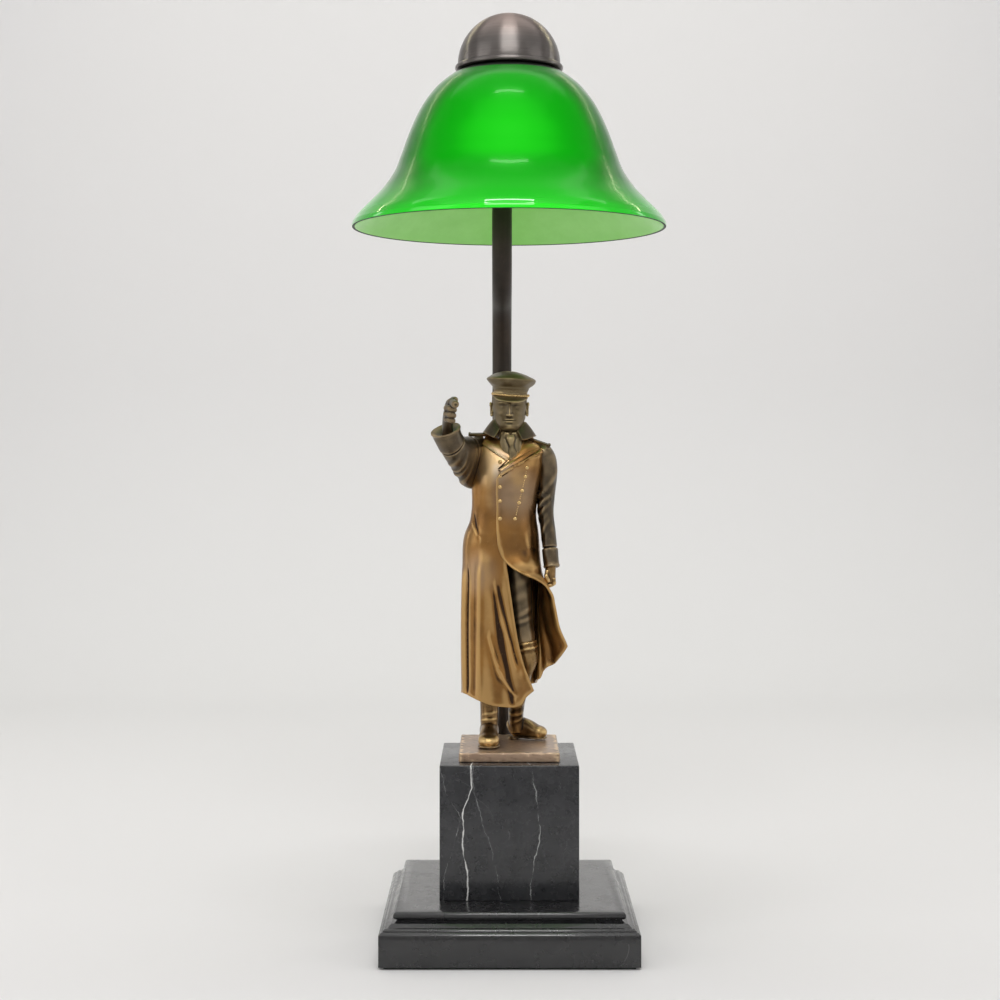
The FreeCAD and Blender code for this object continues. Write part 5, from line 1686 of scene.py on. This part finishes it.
visor_turn = np.linspace(-1.12, 1.12, 110)[None, :]
visor_out = np.linspace(0, 1, 26)[:, None]
visor_reach = 5.6 * visor_out * np.clip(np.cos(visor_turn * 1.4), 0, 1) ** 0.55
visor_height = 350.7 - 0.42 * visor_reach - 0.05 * visor_reach ** 2 + 0.25 * ease(0.86, 0.95, visor_out)
visor = np.stack([CAP_MIDDLE.x + (11.0 + visor_reach * 0.75) * np.sin(visor_turn),
                  CAP_MIDDLE.y - (12.8 + visor_reach) * np.cos(visor_turn), visor_height], axis=2)
visor_tongue = grid_object("visor", tilt(visor))
thicken(visor_tongue, 0.9, 0, 0.2, 40)
cast_piece(visor_tongue, "cap_peak", head_bronze, ["cap_visor"])

strap_turn = np.linspace(-1.75, 1.75, 26)
strap_line = tilt(cap_place(strap_turn, 351.2 + 0.5 * np.abs(strap_turn) ** 1.5, 0.75))
cord = limb([(*place, 0.72, 0.72) for place in strap_line], 260, 20, across_hint=(0, 0, 1),
            relief=lambda along, angle: 0.16 * np.sin(2 * angle + along * 150))
cast_piece(cord, "cap_cord", boot_bronze)

# %% [markdown]
# The coat's collar stands up from the neck, turns over and falls on the shoulders. One grid
# makes it: its rows run up the neck side, over the fold and down the leaf, and its columns go
# round the neck, with a gap in front where the shirt and the tie's knot show.

# %% Coat collar, shirt and tie
collar_turn = np.linspace(0.62, 2 * math.pi - 0.50, 200)[None, :]
collar_row = np.linspace(0, 1, 60)[:, None]
frontness = ease(0.2, 1.0, np.cos(collar_turn))
lift_left = 2.2 * ease(0.1, 1.0, np.sin(collar_turn))
collar_top = 334.0 - 5.4 * frontness + 0.8 * lift_left
collar_low = 325.0 - 2.6 * frontness + lift_left
fold_share = np.clip(collar_row / 0.42, 0, 1)
fall_share = np.clip((collar_row - 0.42) / 0.58, 0, 1)
neck_side = 1 - fold_share
reach_x = 9.0 + 1.2 * fold_share + (5.4 + 1.4 * np.abs(np.sin(collar_turn))) * fall_share ** 1.15
reach_y = 9.4 + 1.0 * fold_share + (3.4 + 1.0 * frontness) * fall_share ** 1.1
collar_z = collar_top - 7.0 * neck_side ** 1.6 - (collar_top - collar_low) * fall_share ** 1.35
collar_points = np.stack([0.3 - reach_x * np.sin(collar_turn), 1.6 - reach_y * np.cos(collar_turn),
                          collar_z], axis=2)
collar_leaf = grid_object("collar", collar_points)
thicken(collar_leaf, 1.3, 0, 0.25, 45)
cast_piece(collar_leaf, "coat_collar_leaf", sleeve_bronze, ["coat_collar"])

shirt = [limb(((0.9 + side * 0.6, -9.6, 325.6, 0.5, 1.6), (0.9 + side * 3.4, -9.0, 325.0, 0.7, 3.0),
               (0.9 + side * 6.2, -6.6, 326.4, 0.7, 2.4)), 30, 24, across_hint=(0, 1, 0))
         for side in (-1, 1)]
shirt.append(limb(((0.9, -10.0, 325.6, 2.5, 1.2), (1.0, -11.0, 323.4, 2.8, 1.7), (1.3, -11.4, 320.6, 1.9, 1.5),
                   (1.6, -11.6, 318.6, 1.5, 1.0), (2.1, -12.4, 314.6, 2.6, 0.9),
                   (2.4, -13.2, 310.0, 3.0, 0.8)), 60, 36))
shirt.append(limb(((0.6, -5.6, 327.0, 6.4, 2.4), (1.0, -8.0, 321.0, 7.0, 2.6), (2.0, -11.2, 312.0, 6.0, 2.0)),
                  40, 48, squareness=3))
skin(shirt, "shirt_and_tie", 0.35, head_bronze, (), 1)

# %% [markdown]
# The shoulder boards are stiff, with cords along them and a rounded inner end. The buttons
# are low domes with a turned rim, two rows of five, and a row of fine stitches joins the
# right-hand ones, as the dashes on the real coat's front do.

# %% Shoulder boards
BOARD_HALF_WIDTH = 4.9


def shoulder_board(name, inner, outer, node):
    """A stiff board between two points, round at its inner end, with cords along it."""
    along = np.linspace(0, 1, 60)[:, None]
    across = np.linspace(-1, 1, 44)[None, :]
    inner, outer = np.array(inner, float), np.array(outer, float)
    middle = inner + (outer - inner) * along
    half = BOARD_HALF_WIDTH * np.sqrt(np.clip(1 - (1 - np.clip(along / 0.22, 0, 1)) ** 2.4, 0.02, 1))
    cords = 0.16 * np.cos(across * 9.4) + 0.5 * ease(0.90, 0.93, along)
    cords = cords + 0.25 * ridge(np.abs(across), 0.93, 0.08)
    x = middle[:, :1] + 0 * across
    y = middle[:, 1:2] + across * half
    z = middle[:, 2:] + 0.8 * (1 - across ** 2) + cords
    obj = grid_object(name, np.stack([x, y, z], axis=2))
    up = sum(face.normal.z * face.area for face in obj.data.polygons)
    thicken(obj, 1.9, -1 if up > 0 else 1, 0.2, 40)
    cast_piece(obj, name, sleeve_bronze, [node])


shoulder_board("shoulder_board_left", (-11.5, 3.4, 326.6), (-26.4, 1.6, 326.4), "epaulette_left")
shoulder_board("shoulder_board_right", (11.0, 3.4, 324.6), (27.2, 3.4, 318.9), "epaulette_right")

# %% Buttons and stitches
BUTTONS = ((-5.8, 308.4), (-5.9, 299.4), (-5.9, 292.4), (-5.9, 283.4), (-5.9, 272.0),
           (11.4, 304.8), (10.4, 299.0), (8.4, 290.0), (6.4, 282.2), (3.8, 271.9))


def bead_at(x, z, radius, stand, segments):
    """A flattened sphere that stands out of the coat's front."""
    place = Vector((x, coat_front(x, z) - stand, z)) * MM
    bpy.ops.mesh.primitive_uv_sphere_add(segments=segments, ring_count=segments // 2, radius=radius * MM,
                                         location=place, scale=(1, 0.62, 1))
    obj = bpy.context.object
    settle(obj)
    bpy.ops.object.shade_smooth()
    return obj


STITCH_PITCH = 1.15
beads = []
for x, z in BUTTONS:
    beads += [bead_at(x, z, 1.35, 0.15, 20), bead_at(x, z, 0.72, 0.75, 12)]
for (x, z), (next_x, next_z) in zip(BUTTONS[5:], BUTTONS[6:]):
    count = int(abs(z - next_z) / STITCH_PITCH)
    for step in range(2, count - 1):
        share = step / count
        beads.append(bead_at(x + (next_x - x) * share, z + (next_z - z) * share, 0.42, 0.1, 8))
cast_piece(join(beads, "buttons"), "button_rows", boot_bronze, ["coat_buttons"])

# %% [markdown]
# The leg in the opening wears breeches over a high boot. The boots have creased ankles, a
# welt and a heel. Each foot is a tube laid along its sole and flattened below, joined to the
# shaft and remeshed into one skin. The sole is its outline, extruded.

# %% Leg in the opening
LEG_STATIONS = (
    (5.0, 3.0, 252.0, 9.0, 8.0), (6.6, -1.0, 236.0, 8.4, 8.0), (7.6, -3.4, 218.0, 7.4, 8.0),
    (8.8, -4.4, 202.0, 6.8, 7.6), (10.2, -4.8, 193.0, 6.6, 7.0), (10.8, -4.6, 190.0, 5.0, 5.4),
)
LEG_FOLDS = (
    (0.34, 1.1, 0.9, 0.06, 0.045, 0.3), (0.52, 1.7, 0.8, 0.03, 0.040, 0.25),
    (0.66, 1.2, 0.9, 0.05, 0.032, 0.4), (0.75, 1.6, 0.9, 0.02, 0.026, 0.35),
)
cast_piece(limb(LEG_STATIONS, 150, 90, LEG_FOLDS), "breeches", sleeve_bronze, ["trouser_leg"])

# %% Boots
FOOT = ((0.0, 0.50, 6.0, 4.0), (0.05, 0.78, 6.6, 5.6), (0.25, 0.84, 7.6, 6.8), (0.50, 0.84, 6.8, 6.2),
        (0.74, 1.0, 5.2, 4.6), (0.88, 0.94, 4.5, 4.0), (0.96, 0.66, 3.8, 2.9), (1.0, 0.30, 3.2, 1.4))
PLATE_TOP = 124.1
SOLE = 1.7
SOLE_PARTS = (("sole", PLATE_TOP + 0.9, PLATE_TOP + SOLE + 0.25, 1.1), ("heel", PLATE_TOP, PLATE_TOP + 1.2, 0.30))
OUTLINE_STEPS = 48


def boot(name, heel, toe, half_width, shaft, node, folds):
    """A boot from a foot tube and a shaft tube, with its sole and heel."""
    heel, toe = np.array(heel, float), np.array(toe, float)
    run = toe - heel
    length = np.linalg.norm(run)
    along = run / length
    aside = np.array([-along[1], along[0]])
    stations = [(*(heel + run * share), PLATE_TOP + rise, half_width * wide, tall)
                for share, wide, rise, tall in FOOT]
    foot = limb(stations, 80, 64, across_hint=(*aside, 0), squareness=2.5)
    leg = limb(shaft, 120, 64, folds)
    skin([foot, leg], name, 0.42, boot_bronze, [node], 4, PLATE_TOP + SOLE)
    outline = []
    for index in range(OUTLINE_STEPS):
        angle = 2 * math.pi * index / OUTLINE_STEPS
        share = 0.5 - 0.5 * math.cos(angle)
        reach = half_width * between(FOOT, np.array([share]))[0] * 0.97 + 0.35
        outline.append(heel + run * (share * 1.03 - 0.015) + aside * math.copysign(reach, math.sin(angle)))
    for label, low, high, limit in SOLE_PARTS:
        kept = [place for place in outline if np.dot(place - heel, along) / length <= limit]
        piece = mesh_object(label, [(x * MM, y * MM, low * MM) for x, y in kept], [tuple(range(len(kept)))])
        with edit_mode(piece):
            extrude(0, 0, (high - low) * MM)
            bpy.ops.mesh.select_all(action="SELECT")
            bpy.ops.mesh.normals_make_consistent(inside=False)
        apply_modifier(piece, "BEVEL", width=0.3 * MM, segments=3, limit_method="ANGLE")
        smooth_shade(piece, 35)
        cast_piece(piece, name + "_" + label, sleeve_bronze)


ANKLE = ((0.68, 1.4, 1.2, 0.03, 0.030, 0.3), (0.78, 1.6, 1.2, 0.01, 0.026, 0.4), (0.87, 1.57, 1.1, 0.03, 0.022, 0.25))
boot("standing_boot", (-13.0, 16.4), (-13.2, -20.4), 6.8,
     ((-12.0, 9.0, 172.0, 7.4, 8.0), (-12.4, 9.0, 158.0, 6.9, 7.6), (-12.8, 8.6, 146.0, 6.1, 7.2),
      (-13.0, 7.2, 137.0, 5.7, 7.6), (-13.0, 5.8, 130.0, 5.4, 8.6)), "boot_standing", ANKLE)
boot("striding_boot", (0.4, 26.0), (24.4, 18.6), 5.8,
     ((10.8, -4.6, 191.6, 7.0, 7.4), (12.2, -4.6, 184.0, 6.6, 6.8), (9.0, 4.0, 168.0, 5.6, 6.2),
      (5.4, 15.0, 150.0, 5.2, 5.8), (4.6, 21.0, 139.0, 5.0, 6.0), (5.6, 23.6, 130.0, 4.8, 5.6)), "boot_striding",
     ((0.06, 1.57, 2.5, 0.0, 0.012, 0.7), *ANKLE))

# %% [markdown]
# The figure's plate is cast too. Its faces are never quite flat, and its upper arris is worn
# bright. The holes for the tie rods don't show, so a plain block, bevelled and roughened,
# stands for it.

# %% Plate under the figure
ROUGH_DEPTH = 0.00016
ROUGH_SCALE = 260


def roughen(obj, amount, scale):
    """Sink points along their normals by a smooth, repeatable noise made of sines."""
    co, normal = points_and_normals(obj.data)
    wave = np.zeros(len(co))
    for octave in range(1, 5):
        turn = np.array([1.7 * octave, 2.3 + octave, 0.9 * octave + 1.1])
        phase = (co * scale * octave) @ turn
        wave += np.sin(phase + octave) * np.cos(co @ turn[::-1] * scale * octave * 0.7) / octave
    shift = amount * (wave / 2 - 1)
    obj.data.vertices.foreach_set("co", (co + normal * shift[:, None]).ravel())
    obj.data.update()


plate = cuboid(*(Vector(corner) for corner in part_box("figure_plate")))
apply_modifier(plate, "BEVEL", width=0.9 * MM, segments=3)
with edit_mode(plate):
    bpy.ops.mesh.quads_convert_to_tris()
    bpy.ops.mesh.subdivide(number_cuts=22)
roughen(plate, ROUGH_DEPTH, ROUGH_SCALE)
smooth_shade(plate, 40)
cast_piece(plate, "plate_casting", plate_bronze, ["figure_plate"])
